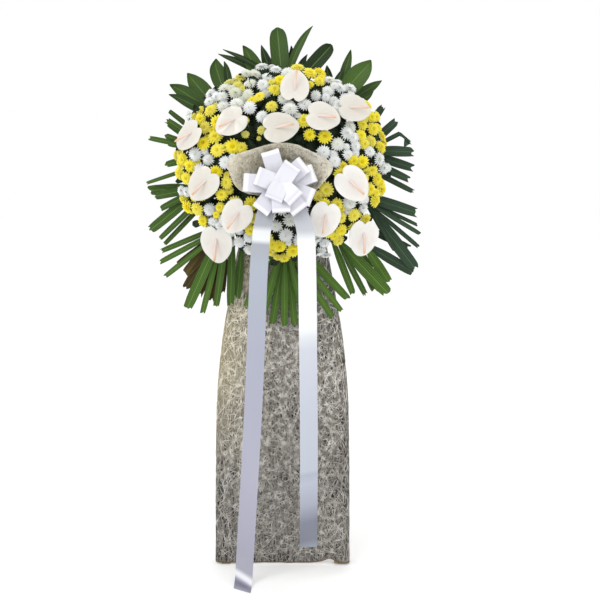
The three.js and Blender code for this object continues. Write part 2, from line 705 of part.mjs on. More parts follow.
// Foliage: a stem through two or three points, then blades as share along the stem, tip and width,
// and for some the form and how far the middle bends to the blade's right
const foliage = [
  ['frond_left_upper', 'strap', -20, [[-60, 12], [-205, 40], [-268, 60]], [
    [0.55, -350, 172, 16], [0.7, -356, 142, 22], [0.8, -362, 96, 18], [0.9, -352, 128, 14],
    [1, -412, 88, 16], [0.95, -350, 70, 20], [0.75, -360, 6, 22], [0.5, -418, -52, 12],
  ]],
  ['frond_left_middle', 'strap', -33, [[-60, -16], [-200, -52], [-262, -70]], [
    [0.9, -412, -72, 34], [0.75, -398, -92, 26], [0.95, -410, -196, 32], [0.7, -378, -222, 18],
    [0.6, -366, -240, 16], [1, -376, -130, 20],
  ]],
  ['frond_left_lower', 'strap', -20, [[-42, -46], [-150, -160], [-190, -205]], [
    [0.8, -374, -262, 17], [0.9, -376, -296, 17], [0.95, -362, -340, 17], [1, -290, -432, 34],
    [0.95, -246, -452, 19], [0.85, -204, -432, 22], [0.75, -160, -428, 25],
  ]],
  ['frond_bottom', 'strap', -33, [[6, -62], [8, -200], [8, -262]], [
    [0.6, -112, -430, 22], [0.75, -62, -462, 24], [0.9, -30, -482, 24], [1, 6, -492, 22],
    [0.9, 38, -486, 24], [0.75, 66, -470, 20], [0.9, 155, -466, 20], [0.8, 182, -446, 18],
    [0.7, 202, -408, 25],
  ]],
  ['frond_right_lower', 'strap', -20, [[42, -46], [130, -175], [165, -225]], [
    [0.8, 218, -394, 22], [1, 256, -396, 19], [0.95, 324, -390, 40],
  ]],
  ['frond_right_middle', 'strap', -33, [[60, -16], [205, -75], [262, -110]], [
    [0.95, 412, -316, 38], [1, 346, -258, 14], [0.95, 422, -248, 14], [0.9, 426, -208, 14],
    [0.8, 418, -180, 12], [0.7, 414, -142, 34],
  ]],
  ['frond_right_upper', 'strap', -20, [[60, 14], [205, 42], [262, 50]], [
    [0.6, 404, -78, 17], [0.75, 388, -40, 24], [0.9, 402, -4, 28], [1, 402, 44, 32],
    [1, 396, 74, 15], [0.95, 352, 140, 26], [0.75, 310, 186, 24],
  ]],
  ['leafy_stem_left', 'leaf', -5, [[-48, 26], [-150, 120], [-180, 150]], [
    [1, -294, 288, 58], [0.9, -344, 254, 50], [0.8, -346, 222, 32],
  ]],
  ['leafy_stem_upper_left', 'leaf', -8, [[-28, 52], [-130, 150], [-172, 205]], [
    [1, -214, 332, 50], [0.85, -176, 324, 24],
  ]],
  ['leafy_stem_top', 'leaf', -5, [[2, 60], [4, 190], [6, 220]], [
    [0.7, -66, 376, 34], [0.9, -16, 428, 56, 'blunt'], [0.85, -116, 372, 50, 'leaf', -15],
    [0.8, 34, 370, 32], [0.95, 152, 374, 48, 'blunt'], [1, 90, 432, 24, 'leaf', -14],
    [0.6, 72, 350, 30], [1, -200, 345, 22, 'leaf', 18], [0.95, -184, 356, 16, 'leaf', 22],
  ]],
  ['leafy_stem_right', 'leaf', -8, [[40, 44], [138, 150], [165, 178]], [
    [0.85, 140, 312, 34], [0.95, 212, 358, 30], [1, 276, 322, 64, 'leaf', -8], [0.95, 308, 266, 32],
    [0.8, 286, 226, 28], [0.6, 186, 300, 28],
  ]],
];

function onStem(stem, share) {
  const lengths = stem.slice(1).map((p, k) => p.distanceTo(stem[k]));
  const total = lengths.reduce((a, b) => a + b, 0);
  let rest = share * total;
  for (let k = 0; k < lengths.length; k += 1) {
    if (rest <= lengths[k] || k === lengths.length - 1) {
      return stem[k].clone().lerp(stem[k + 1], Math.min(rest / lengths[k], 1));
    }
    rest -= lengths[k];
  }
  return stem.at(-1).clone();
}

// Thickness and stem radius of each kind, and how far its blades twist
const blades = {
  strap: { thickness: 1, stem: 3.4, twist: 0.2, crease: 0, columns: [-1, 1] },
  leaf: { thickness: 1.2, stem: 3, twist: 0.12, crease: -0.12, columns: [-1, 0, 1] },
};

// Width along a blade as shares of its length and of its full width
const bladeShape = {
  strap: [[0, 0.12], [0.5, 1], [1, 0.88]],
  leaf: [[0, 0.14], [0.42, 0.95], [0.78, 0.88], [1, 0.14]],
  blunt: [[0, 0.3], [0.42, 0.95], [0.86, 0.95], [1, 0.5]],
};

function bladeSolid(root, tip, width, kind, form, bend, seed, rise) {
  const blade = blades[kind];
  const way = tip.clone().sub(root).normalize();
  const level = new THREE.Vector3().crossVectors(way, at(0, 0, 1)).normalize();
  const lift = new THREE.Vector3().crossVectors(level, way).normalize();
  const twist = spread(seed, 6, blade.twist);
  const grid = bladeShape[form].map(([share, size]) => {
    const swell = Math.sin(Math.PI * share);
    const middle = root.clone().lerp(tip, share)
      .addScaledVector(lift, rise * 0.7 * swell).addScaledVector(level, bend * swell);
    const turn = twist * share;
    const side = level.clone().multiplyScalar(Math.cos(turn)).addScaledVector(lift, Math.sin(turn));
    const full = width * size;
    return blade.columns.map((c) => middle.clone().addScaledVector(side, (c * full) / 2)
      .addScaledVector(lift, c === 0 ? blade.crease * full : 0));
  });
  return sheet(grid, blade.thickness);
}

function buildFoliage() {
  foliage.forEach(([name, kind, layer, stemSpots, tips], n) => {
    const stem = stemSpots.map(([x, up]) => at(x, up, layer));
    const radius = blades[kind].stem;
    holeFor(stem[0], stem[1], radius);
    const solids = tips.map(([share, tipX, tipUp, width, form = kind, bend = 0], k) => {
      const rise = kind === 'leaf' ? ((k % 3) - 1) * 9 : ((k % 2) - 0.5) * 7;
      const tip = at(tipX, tipUp, layer + rise);
      return bladeSolid(onStem(stem, share), tip, width, kind, form, bend, 40 * (n + 1) + k, rise);
    });
    const whole = fuse([rod(stem, [radius, radius, radius * 0.6], stemSides), ...solids]);
    addMesh(leaning, name, mainBody(whole), materials[kind]);
  });
}

// Fibre collar: a shallow oval cup with a wavy rim, open in front, pinned by the bow's pick.
const bow = { x: -3, up: -86.5, out: 226, knot: 13, knotRadius: 19, pick: 2 };

// Rings of the collar: half width, half height and distance out
const collarRings = [
  [2.5, 2.5, 150], [58, 33, 154], [108, 57, 178], [collar.halfWidth, collar.halfHeight, 205],
];

function buildCollar() {
  const last = collarRings.length - 1;
  const grid = collarRings.map(([halfX, halfUp, out], i) =>
    Array.from({ length: collar.sides }, (_, k) => {
      const angle = (2 * Math.PI * k) / collar.sides;
      const wave = i === last ? 1 + 0.045 * Math.sin(5 * angle + 0.6) : 1;
      const shift = ((bow.up - collar.up) * (last - i)) / last;
      const shiftX = i === 0 ? bow.x - collar.x : 0;
      const lift = i * 3.2 * Math.sin(angle);
      return at(collar.x + shiftX + wave * halfX * Math.cos(angle),
        collar.up + shift + wave * halfUp * Math.sin(angle), out + lift);
    }));
  addMesh(leaning, 'collar', sheet(grid, collar.thickness, true), materials.abaca);

  const foot = at(bow.x, bow.up, stemStart);
  const tip = at(bow.x, bow.up, bow.out - bow.knot - gap);
  addMesh(leaning, 'bow_pick', rod([foot, tip], [bow.pick], stemSides), materials.bareWood);
  holeFor(foot, at(bow.x, bow.up, foam.back + foam.depth + 10), bow.pick);
  placeStem([foot, tip], bow.pick, 'bow_pick');
}

// Bow loops: direction in degrees, length, opening, how far the loop tips to the viewer, layer
const loops = [
  [112, 107, 26, 2, -12], [46, 98, 26, 4, -4], [20, 106, 26, 4, -12], [172, 110, 26, 4, -6],
  [230, 99, 26, 6, -12], [330, 104, 26, 6, -4], [62, 70, 30, 34, 9], [142, 90, 28, 18, 6],
  [316, 70, 30, 36, 9], [246, 66, 30, 36, 9], [292, 92, 28, 16, 4],
];

// Shares of the length and of the half opening round a loop, from the knot and back
const loopRound = [
  [0.12, -0.2], [0.7, -0.9], [1, -0.3], [0.97, 0.5], [0.7, 1], [0.34, 0.7], [0.12, 0.2],
];

function loopSolid([degrees, length, opening, tipDegrees, layer]) {
  const turn = THREE.MathUtils.degToRad(degrees);
  const tilt = THREE.MathUtils.degToRad(tipDegrees);
  const flat = at(Math.cos(turn), Math.sin(turn), 0);
  const side = at(-Math.sin(turn), Math.cos(turn), 0);
  const front = at(0, 0, 1);
  const reach = flat.clone().multiplyScalar(Math.cos(tilt)).addScaledVector(front, Math.sin(tilt));
  const rise = front.clone().multiplyScalar(Math.cos(tilt)).addScaledVector(flat, -Math.sin(tilt));
  const centre = at(bow.x, bow.up, bow.out + layer);
  const grid = loopRound.map(([along, high], k) => {
    const pinch = k === 0 || k === loopRound.length - 1 ? knotGather : 1;
    const middle = centre.clone().addScaledVector(reach, along * length)
      .addScaledVector(rise, (high * opening) / 2);
    return [-1, 1].map((s) => middle.clone().addScaledVector(side, (s * pinch * ribbonWidth) / 2));
  });
  return sheet(grid, ribbonThickness);
}

function buildBow() {
  const knotEnd = bow.knotRadius - 3;
  const knotPath = [-bow.knot, 0, bow.knot].map((out) => at(bow.x, bow.up, bow.out + out));
  const knot = rod(knotPath, [knotEnd, bow.knotRadius, knotEnd], 6);
  addMesh(leaning, 'bow', mainBody(fuse([knot, ...loops.map(loopSolid)])), materials.satin);
}

// Tails hang plumb from under the knot. Points are x, y and height above the floor.
function buildTail(name, spots) {
  const points = spots.map(([x, y, z]) => new THREE.Vector3(x, y, z));
  const curve = new THREE.CatmullRomCurve3(points, false, 'centripetal');
  const grid = Array.from({ length: tailSteps + 1 }, (_, k) => {
    const share = k / tailSteps;
    const p = curve.getPoint(share);
    const gather = Math.min(knotGather + 0.35 * share * (spots.length - 1), 1);
    return [-1, 1].map((s) => new THREE.Vector3(p.x + (s * gather * ribbonWidth) / 2, p.y, p.z));
  });
  addMesh(floor, name, sheet(grid, ribbonThickness), materials.satin);
}

function buildTails() {
  buildTail('ribbon_tail_left', [
    [-12, -134.6, 1158.7], [-24, -133, 1138], [-38, -134, 1117], [-46, -140, 1088],
    [-54, -152, 1050], [-59, -164, 1000], [-64, -168, 930], [-81, -168, 540], [-102, -168, 180],
    [-109, -171, 66], [-112, -186, 14], [-113, -208, 2.2], [-114, -238, 1.2],
  ]);
  buildTail('ribbon_tail_right', [
    [6, -135.9, 1158.7], [20, -133, 1138], [38, -134, 1117], [54, -140, 1088], [68, -152, 1050],
    [73, -164, 1000], [75, -168, 930], [78, -168, 700], [80.5, -168, 420], [79.5, -168, 108],
  ]);
}

// Skirt half width against height along the lean from the floor
const skirtProfile = [[-4, 208], [500, 205], [700, 188], [830, 167], [995, 138]];

function buildSkirt() {
  const footUp = -apexHeight / Math.cos(leanAngle);
  const middle = legFront + gap + skirt.thickness / 2;
  const grid = skirtProfile.map(([rise, half], i) => {
    const up = footUp + rise;
    const billow = i > 0 && i < skirtProfile.length - 1 ? skirt.billow : 0;
    const back = middle - skirt.fold;
    const side = middle - skirt.cornerBack;
    const edge = half - skirt.corner;
    return [
      at(-half + 4, up, back), at(-half, up, side), at(-edge, up, middle),
      at(-half * 0.35, up, middle + billow), at(half * 0.3, up, middle + billow * 0.4),
      at(edge, up, middle), at(half, up, side), at(half - 4, up, back),
    ];
  });
  const panel = sheet(grid, skirt.thickness).subtract(belowFloor(skirt.hemClear));
  addMesh(leaning, 'skirt', panel, materials.abaca);
}

buildStand();
anthuriums.forEach(buildAnthurium);
buildCollar();
buildSprays();
buildFoliage();
buildFoam();
buildBow();
buildTails();
buildSkirt();

// The origin stands on the floor under the middle of the whole.
const whole = new THREE.Group();
whole.add(floor);
whole.updateMatrixWorld(true);
const size = new THREE.Box3().setFromObject(whole, true);
floor.position.set(-(size.min.x + size.max.x) / 2, -(size.min.y + size.max.y) / 2, 0);

export default whole;
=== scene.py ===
import math
import random
from itertools import accumulate
from math import cos, pi, sin

import bmesh
import bpy
from mathutils import Matrix, Vector, noise


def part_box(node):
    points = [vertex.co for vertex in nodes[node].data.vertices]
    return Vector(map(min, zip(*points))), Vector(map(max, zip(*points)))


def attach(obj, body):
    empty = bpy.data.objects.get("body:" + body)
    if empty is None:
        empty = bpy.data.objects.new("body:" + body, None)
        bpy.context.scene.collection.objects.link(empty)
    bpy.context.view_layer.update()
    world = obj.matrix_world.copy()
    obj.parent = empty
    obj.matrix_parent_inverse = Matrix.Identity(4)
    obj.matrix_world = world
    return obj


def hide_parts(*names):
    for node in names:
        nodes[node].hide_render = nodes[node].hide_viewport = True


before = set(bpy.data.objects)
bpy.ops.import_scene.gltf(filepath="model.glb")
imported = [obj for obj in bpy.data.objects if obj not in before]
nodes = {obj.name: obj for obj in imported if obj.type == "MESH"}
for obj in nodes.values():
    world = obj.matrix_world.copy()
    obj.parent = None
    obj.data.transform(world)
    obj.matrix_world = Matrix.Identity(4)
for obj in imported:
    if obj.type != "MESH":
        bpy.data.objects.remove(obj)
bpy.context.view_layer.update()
scene = bpy.context.scene
mm = 0.001
print("frame loaded:", len(nodes), "nodes")


def addObject(name, data):
    made = bpy.data.objects.new(name, data)
    scene.collection.objects.link(made)
    return made


# Camera, at the height of the flowers and a little to the right
view = {"place": (0.0496, -3.6, 1.1933), "pitchDown": 6.093, "lens": 68.88, "sensor": 36}
cameraData = bpy.data.cameras.new("camera")
cameraData.lens = view["lens"]
cameraData.sensor_width = view["sensor"]
cameraObject = addObject("camera", cameraData)
cameraObject.location = view["place"]
cameraObject.rotation_euler = (math.radians(90 - view["pitchDown"]), 0, 0)
scene.camera = cameraObject

# Places on the leaning easel are millimetres from its apex: x, height along the lean, distance out
stand = {"lean": 7, "foamMiddle": 17, "floorUp": -1239.237, "apexBack": 86.645}
leanTurn = Matrix.Rotation(math.radians(-stand["lean"]), 4, "X")
foamLow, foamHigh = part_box("foam_block")
apex = (foamLow + foamHigh) / 2 - leanTurn @ Vector((0, -stand["foamMiddle"] * mm, 0))
leanMatrix = Matrix.Translation(apex) @ leanTurn @ Matrix.Scale(mm, 4)
fromLean = leanMatrix.inverted()


def at(x, up, out):
    return Vector((x, -out, up))


def scatter(i, k):
    value = sin(i * 12.9898 + k * 78.233) * 43758.5453
    return value - math.floor(value)


def spread(i, k, size):
    return (2 * scatter(i, k) - 1) * size


def across(axis):
    helper = Vector((0, 0, 1)) if abs(axis.z) < 0.9 else Vector((1, 0, 0))
    side = (helper - axis * helper.dot(axis)).normalized()
    return side, axis.cross(side)


def turned(one, other, angle):
    return one * cos(angle) + other * sin(angle)


def between(table, share):
    # Smooth value from a table of spots and values
    last = len(table) - 1
    share = max(table[0][0], min(share, table[last][0]))
    k = next(n for n in range(last) if share <= table[n + 1][0])

    def slope(n):
        (a, first), (b, second) = table[max(n - 1, 0)], table[min(n + 1, last)]
        return (second - first) / (b - a)

    (a, first), (b, second) = table[k], table[k + 1]
    t, wide = (share - a) / (b - a), b - a
    return ((2 * t ** 3 - 3 * t ** 2 + 1) * first + (t ** 3 - 2 * t ** 2 + t) * slope(k) * wide
            + (3 * t ** 2 - 2 * t ** 3) * second + (t ** 3 - t ** 2) * slope(k + 1) * wide)


def stepLengths(path):
    return [(b - a).length for a, b in zip(path, path[1:])]


def evenPath(points, count):
    # Even steps along a smooth curve through the points
    spots = [Vector(p) for p in points]
    ends = [spots[0] * 2 - spots[1], *spots, spots[-1] * 2 - spots[-2]]
    dense = []
    steps = 12
    for a, b, c, d in zip(ends, ends[1:], ends[2:], ends[3:]):
        t0, t1, t2, t3 = accumulate((0, *(max(step, 1e-6) ** 0.5 for step in stepLengths((a, b, c, d)))))
        for n in range(steps):
            t = t1 + (t2 - t1) * n / steps
            p = a.lerp(b, (t - t0) / (t1 - t0))
            q = b.lerp(c, (t - t1) / (t2 - t1))
            r = c.lerp(d, (t - t2) / (t3 - t2))
            left = p.lerp(q, (t - t0) / (t2 - t0))
            right = q.lerp(r, (t - t1) / (t3 - t1))
            dense.append(left.lerp(right, (t - t1) / (t2 - t1)))
    dense.append(spots[-1])
    lengths = list(accumulate((0, *stepLengths(dense))))
    found = []
    k = 0
    for n in range(count + 1):
        goal = lengths[-1] * n / count
        while k < len(dense) - 2 and lengths[k + 1] < goal:
            k += 1
        room = lengths[k + 1] - lengths[k]
        found.append(dense[k].lerp(dense[k + 1], (goal - lengths[k]) / room if room else 0))
    return found


def heading(path, k):
    return path[min(k + 1, len(path) - 1)] - path[max(k - 1, 0)]


def hump(x, middle, width):
    return math.exp(-((x - middle) / width) ** 2)


def newShape():
    bm = bmesh.new()
    bm.loops.layers.uv.new("UVMap")
    bm.verts.layers.float.new("tone")
    return bm


def addGrid(bm, columns, rows, place, material=0):
    # A grid whose points are set by their share across and along
    made = bmesh.ops.create_grid(bm, x_segments=columns, y_segments=rows, size=0.5, calc_uvs=True)
    for vert in made["verts"]:
        vert.co = place(vert.co.x + 0.5, vert.co.y + 0.5)
    faces = list({face for vert in made["verts"] for face in vert.link_faces})
    for face in faces:
        face.material_index = material
    return made["verts"], faces


def addSheet(bm, columns, rows, place, thickness, material=0):
    verts, faces = addGrid(bm, columns, rows, place, material)
    for face in faces:
        face.normal_update()
    made = bmesh.ops.solidify(bm, geom=faces, thickness=thickness)
    return verts, faces, made


def addTube(bm, path, radii, sides, material=0):
    # A round tube along even points, closed at both ends
    spots = [Vector(p) for p in path]
    last = len(spots) - 1
    ways = [heading(spots, k).normalized() for k in range(last + 1)]
    side = across(ways[0])[0]
    frames = []
    for way in ways:
        side = (side - way * side.dot(way)).normalized()
        frames.append((side, way.cross(side)))

    def place(u, v):
        row = round(v * (last + 2)) - 1
        k = max(0, min(row, last))
        radius = radii(k / last) if 0 <= row <= last else 0
        angle = 2 * pi * u
        one, other = frames[k]
        return spots[k] + one * radius * cos(angle) + other * radius * sin(angle)

    verts, faces = addGrid(bm, sides, last + 2, place, material)
    bmesh.ops.remove_doubles(bm, verts=verts, dist=1e-7)


def makePiece(name, bm, finishes, sharpAngle=50):
    mesh = bpy.data.meshes.new(name)
    bmesh.ops.recalc_face_normals(bm, faces=bm.faces)
    bm.to_mesh(mesh)
    bm.free()
    for finish in finishes:
        mesh.materials.append(finish)
    mesh.shade_smooth()
    mesh.set_sharp_from_angle(angle=math.radians(sharpAngle))
    return addObject(name, mesh)


def settle(piece, slot, *replaced):
    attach(piece, "root")
    if replaced:
        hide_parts(*replaced)
    return piece


def setTone(bm, verts, value):
    layer = bm.verts.layers.float["tone"]
    for vert in verts:
        vert[layer] = value


def setMaterial(verts, number):
    for face in {face for vert in verts for face in vert.link_faces}:
        face.material_index = number


def weld(bm, distance=1e-4):
    bmesh.ops.remove_doubles(bm, verts=bm.verts, dist=distance)


def move(bm, matrix):
    bmesh.ops.transform(bm, matrix=matrix, verts=bm.verts)


# Materials
class Finish:
    def __init__(self, name, colour, roughness, specular=0.5):
        self.material = bpy.data.materials.new(name)
        self.material.use_nodes = True
        self.tree = self.material.node_tree
        self.shader = self.tree.nodes["Principled BSDF"]
        self.spot = self.add("TexCoord", out="Object")
        self.put(self.shader, {"Base Color": colour, "Roughness": roughness, "Specular IOR Level": specular})

    def put(self, node, sockets):
        for key, value in sockets.items():
            socket = node.inputs[key]
            if isinstance(value, bpy.types.NodeSocket):
                self.tree.links.new(value, socket)
            else:
                socket.default_value = (*value, 1) if socket.type == "RGBA" else value

    def add(self, kind, sockets=(), out=0, **settings):
        node = self.tree.nodes.new("ShaderNode" + kind)
        for key, value in settings.items():
            setattr(node, key, value)
        self.put(node, dict(sockets))
        return node.outputs[out]

    def calc(self, operation, first, second=0.5):
        return self.add("Math", {0: first, 1: second}, operation=operation)

    def times(self, first, second):
        return self.calc("MULTIPLY", first, second)

    def plus(self, first, second):
        return self.calc("ADD", first, second)

    def away(self, value, middle=0.0):
        return self.calc("ABSOLUTE", self.calc("SUBTRACT", value, middle))

    def wave(self, value, size):
        return self.calc("SINE", self.times(value, size))

    def fade(self, value, low, high, atLow, atHigh):
        return self.add("MapRange", {"Value": value, "From Min": low, "From Max": high,
                                     "To Min": atLow, "To Max": atHigh})

    def mix(self, share, one, other):
        return self.add("Mix", {0: share, 6: one, 7: other}, 2, data_type="RGBA")

    def ramp(self, value, stops):
        colour = self.add("ValToRGB", {0: value})
        elements = colour.node.color_ramp.elements
        elements[0].position, elements[1].position = stops[0][0], stops[-1][0]
        for stop in stops[1:-1]:
            elements.new(stop[0])
        for element, stop in zip(elements, stops):
            element.color = (*stop[1:], 1)
        return colour

    def stretch(self, place, scale, turn=(0, 0, 0), shift=(0, 0, 0)):
        return self.add("Mapping", {"Vector": place, "Scale": scale, "Rotation": turn, "Location": shift})

    def noise(self, scale, detail, place=None, roughness=0.5, distortion=0.0):
        return self.add("TexNoise", {"Vector": place or self.spot, "Scale": scale, "Detail": detail,
                                     "Roughness": roughness, "Distortion": distortion})

    def cells(self, scale, place=None):
        return self.add("TexVoronoi", {"Vector": place or self.spot, "Scale": scale})

    def axes(self, place):
        return list(self.add("SeparateXYZ", {0: place}).node.outputs)

    def sheet(self):
        # Shares across and along from the piece's own UV map
        uv = self.add("UVMap", uv_map="UVMap")
        return uv, *self.axes(uv)[:2]

    def tone(self):
        return self.add("Attribute", out="Fac", attribute_name="tone")

    def soften(self, weight, radius, scale):
        self.put(self.shader, {"Subsurface Weight": weight, "Subsurface Radius": radius,
                               "Subsurface Scale": scale})

    def done(self, colour, height, strength, distance):
        bump = self.add("Bump", {"Height": height, "Strength": strength, "Distance": distance})
        self.put(self.shader, {"Base Color": colour, "Normal": bump})
        return self.material


def petalFinish(name, root, body, tip, shade):
    f = Finish(name, body, 0.62, 0.25)
    uv, u, v = f.sheet()
    colour = f.ramp(v, [(0.0, *root), (0.32, *body), (0.8, *body), (1.0, *tip)])
    f.soften(0.25, (1, 0.9, 0.6), 0.002)
    lines = f.noise(3, 2, f.stretch(uv, (9, 1.2, 1)))
    return f.done(f.mix(f.tone(), colour, shade), lines, 0.35, 0.0006)


def buttonFinish(name, dark, light):
    f = Finish(name, light, 0.7, 0.2)
    cells = f.cells(900)
    return f.done(f.ramp(cells, [(0.1, *light), (0.75, *dark)]), cells, 0.8, 0.0008)


def leafFinish(name, dark, light, rib, veins, roughness, streaks, relief):
    # Green blade: midrib, parallel or slanting veins, darker edges and slow colour patches
    f = Finish(name, light, roughness, 0.22)
    uv, u, v = f.sheet()
    fromMiddle = f.away(u, 0.5)
    slant = f.times(fromMiddle, -streaks[0]) if streaks[1] else f.times(u, streaks[0])
    wave = f.wave(f.plus(slant, f.times(v, streaks[1])), 2 * pi)
    body = f.mix(f.tone(), dark, light)
    body = f.mix(f.times(f.noise(26, 4, roughness=0.6), 0.4), body, dark)
    body = f.mix(f.fade(fromMiddle, 0.15, 0.5, 0, 0.25), body, dark)
    body = f.mix(f.times(f.calc("MAXIMUM", wave, 0), veins), body, rib)
    body = f.mix(f.fade(fromMiddle, 0.012, 0.045, 0.55, 0), body, rib)
    return f.done(body, wave, relief, 0.0007)


petalYellow = petalFinish("petalYellow", (0.82, 0.56, 0.004), (0.96, 0.80, 0.015),
                          (0.96, 0.88, 0.20), (0.70, 0.68, 0.20))
petalWhite = petalFinish("petalWhite", (0.62, 0.70, 0.42), (0.92, 0.94, 0.93),
                         (0.95, 0.96, 0.97), (0.78, 0.80, 0.62))
buttonYellow = buttonFinish("buttonYellow", (0.56, 0.46, 0.01), (0.84, 0.72, 0.02))
buttonGreen = buttonFinish("buttonGreen", (0.50, 0.58, 0.22), (0.78, 0.80, 0.52))
mumLeaf = leafFinish("mumLeaf", (0.005, 0.014, 0.005), (0.018, 0.045, 0.012), (0.05, 0.09, 0.03),
                     0.25, 0.55, (3, 5), 0.4)
strapBright = leafFinish("strapBright", (0.014, 0.042, 0.006), (0.082, 0.185, 0.018), (0.20, 0.34, 0.06),
                         0.35, 0.5, (7, 0), 0.4)
# Right-hand fronds: a darker, bluish copy of the frond green, which paints their shade and a bluish sheen
strapShadeAndSheen = leafFinish("strapShadeAndSheen", (0.010, 0.028, 0.013), (0.036, 0.074, 0.038), (0.10, 0.17, 0.09),
                       0.30, 0.5, (7, 0), 0.4)
strapBrown = leafFinish("strapBrown", (0.032, 0.024, 0.005), (0.100, 0.068, 0.012), (0.15, 0.11, 0.03),
                        0.30, 0.6, (7, 0), 0.4)
broadGreen = leafFinish("broadGreen", (0.010, 0.028, 0.005), (0.082, 0.165, 0.026), (0.17, 0.27, 0.08),
                        0.06, 0.5, (5, 9), 0.10)


def stemFinish():
    f = Finish("stemGreen", (0.06, 0.14, 0.04), 0.5, 0.4)
    blotches = f.noise(90, 3)
    colour = f.ramp(blotches, [(0.3, 0.035, 0.09, 0.02), (0.7, 0.10, 0.20, 0.06)])
    return f.done(colour, blotches, 0.3, 0.0008)


def spatheFinish():
    # Waxy white, pink by the spadix and a little green at the rim; the tone attribute darkens some spathes
    # towards warm grey as painted shade
    f = Finish("spatheWhite", (0.86, 0.85, 0.82), 0.28, 0.5)
    uv, u, v = f.sheet()
    colour = f.ramp(v, [(0.0, 0.84, 0.76, 0.71), (0.25, 0.83, 0.78, 0.75), (0.55, 0.81, 0.79, 0.75),
                        (0.93, 0.87, 0.86, 0.83), (1.0, 0.76, 0.79, 0.68)])
    colour = f.mix(f.tone(), colour, (0.56, 0.53, 0.43))
    colour = f.mix(f.times(f.noise(34, 3), 0.4), colour, (0.66, 0.62, 0.59))
    f.soften(0.2, (1, 0.7, 0.6), 0.003)
    f.put(f.shader, {"Coat Weight": 0.25, "Coat Roughness": 0.25})
    return f.done(colour, f.noise(420, 3), 0.12, 0.0008)


def spadixFinish():
    f = Finish("spadixPink", (0.84, 0.66, 0.56), 0.5, 0.35)
    uv, u, v = f.sheet()
    cells = f.cells(800)
    colour = f.ramp(v, [(0.0, 0.84, 0.76, 0.71), (0.5, 0.84, 0.66, 0.57), (0.78, 0.85, 0.56, 0.40),
                        (0.95, 0.85, 0.42, 0.15)])
    return f.done(f.mix(f.times(cells, 0.3), colour, (0.76, 0.54, 0.42)), cells, 0.9, 0.0009)


def fibreFinish(name, gap, body, strand, scale, tint, rim=None, left=None, hem=None):
    # Tangled plant fibre: thin light lines over a darker ground
    f = Finish(name, body, 0.82, 0.2)
    holes = f.noise(scale * 1.4, 3, roughness=0.7, distortion=0.6)
    depth = f.plus(f.times(holes, 0.75), f.times(f.noise(7, 4, roughness=0.65), 0.35))
    colour = f.ramp(depth, [(0.44, *gap), (0.55, *body), (0.68, *tint)])
    height = holes
    turns = [(0.12, 0.15, 1.0), (0.4, 0.2, 0.8), (-0.35, 0.2, 0.9), (0.9, -0.3, 1.1)]
    for n, (turn, tip, size) in enumerate(turns):
        place = f.stretch(f.spot, (size, size, size * 0.16), (tip, turn, 0.1), (n * 1.7, n * 0.9, n * 0.4))
        wisps = f.noise(scale * 1.6, 2, place, distortion=0.35)
        line = f.fade(f.away(wisps, 0.5), 0.004, 0.026, 0.85, 0)
        colour = f.mix(line, colour, strand)
        height = f.plus(height, line)
    uv, u, v = f.sheet()
    if rim:
        sides = f.calc("ABSOLUTE", f.calc("COSINE", f.times(u, 2 * pi)))
        reach = f.times(v, f.plus(f.times(sides, 0.25), 0.75))
        colour = f.mix(f.fade(reach, 0.68, 0.92, 0, 0.65), colour, rim)
    if left:
        x, y, z = f.axes(f.spot)
        share = f.times(f.fade(x, -0.19, -0.05, 0.55, 0), f.fade(z, 0.3, 0.6, 0, 1))
        colour = f.mix(share, colour, left)
    if hem:
        colour = f.mix(f.fade(v, 0.0025, 0.006, 0.9, 0), colour, hem)
    return f.done(colour, height, 0.7, 0.0015)


def strandFinish():
    # Pale fibre, tan at the upper left of the sheet and dimmer low down and in the middle
    f = Finish("fibreStrand", (0.62, 0.59, 0.5), 0.7, 0.3)
    tones = f.noise(70, 3)
    colour = f.ramp(tones, [(0.36, 0.30, 0.275, 0.23), (0.5, 0.58, 0.55, 0.49), (0.64, 0.88, 0.86, 0.81)])
    x, y, z = f.axes(f.spot)
    leftShare, upShare = f.fade(x, -0.17, -0.02, 1.0, 0), f.fade(z, 0.25, 0.75, 0, 1)
    dim = (0.13, 0.12, 0.115)
    colour = f.mix(f.fade(upShare, 0, 1, 0.3, 0), colour, dim)
    colour = f.mix(f.fade(f.away(x), 0.03, 0.13, 0.16, 0), colour, dim)
    tan = f.times(f.times(leftShare, upShare), f.noise(5, 2))
    return f.done(f.mix(tan, colour, (0.92, 0.84, 0.60)), tones, 0.2, 0.0004)


def satinFinish(name, stops, dim, slant=0.0):
    # Woven satin: threads along the ribbon and a soft sheen; the colour ramp along the ribbon paints
    # highlights and shade at its bends and folds
    f = Finish(name, stops[0][1:], 0.3, 0.6)
    uv, u, v = f.sheet()
    # Painted light: the slant tilts the ramp's painted highlight and shade bands across the ribbon
    slanted = f.times(f.times(f.calc("SUBTRACT", u, 0.5), slant), v)
    colour = f.mix(f.times(f.noise(7, 2), 0.25), f.ramp(f.plus(v, slanted), stops), dim)
    lines = f.noise(6, 2, f.stretch(uv, (26, 1, 1)))
    f.put(f.shader, {"Sheen Weight": 0.3, "Sheen Roughness": 0.3})
    return f.done(colour, f.plus(f.times(f.wave(u, 420), 0.2), lines), 0.12, 0.0004)


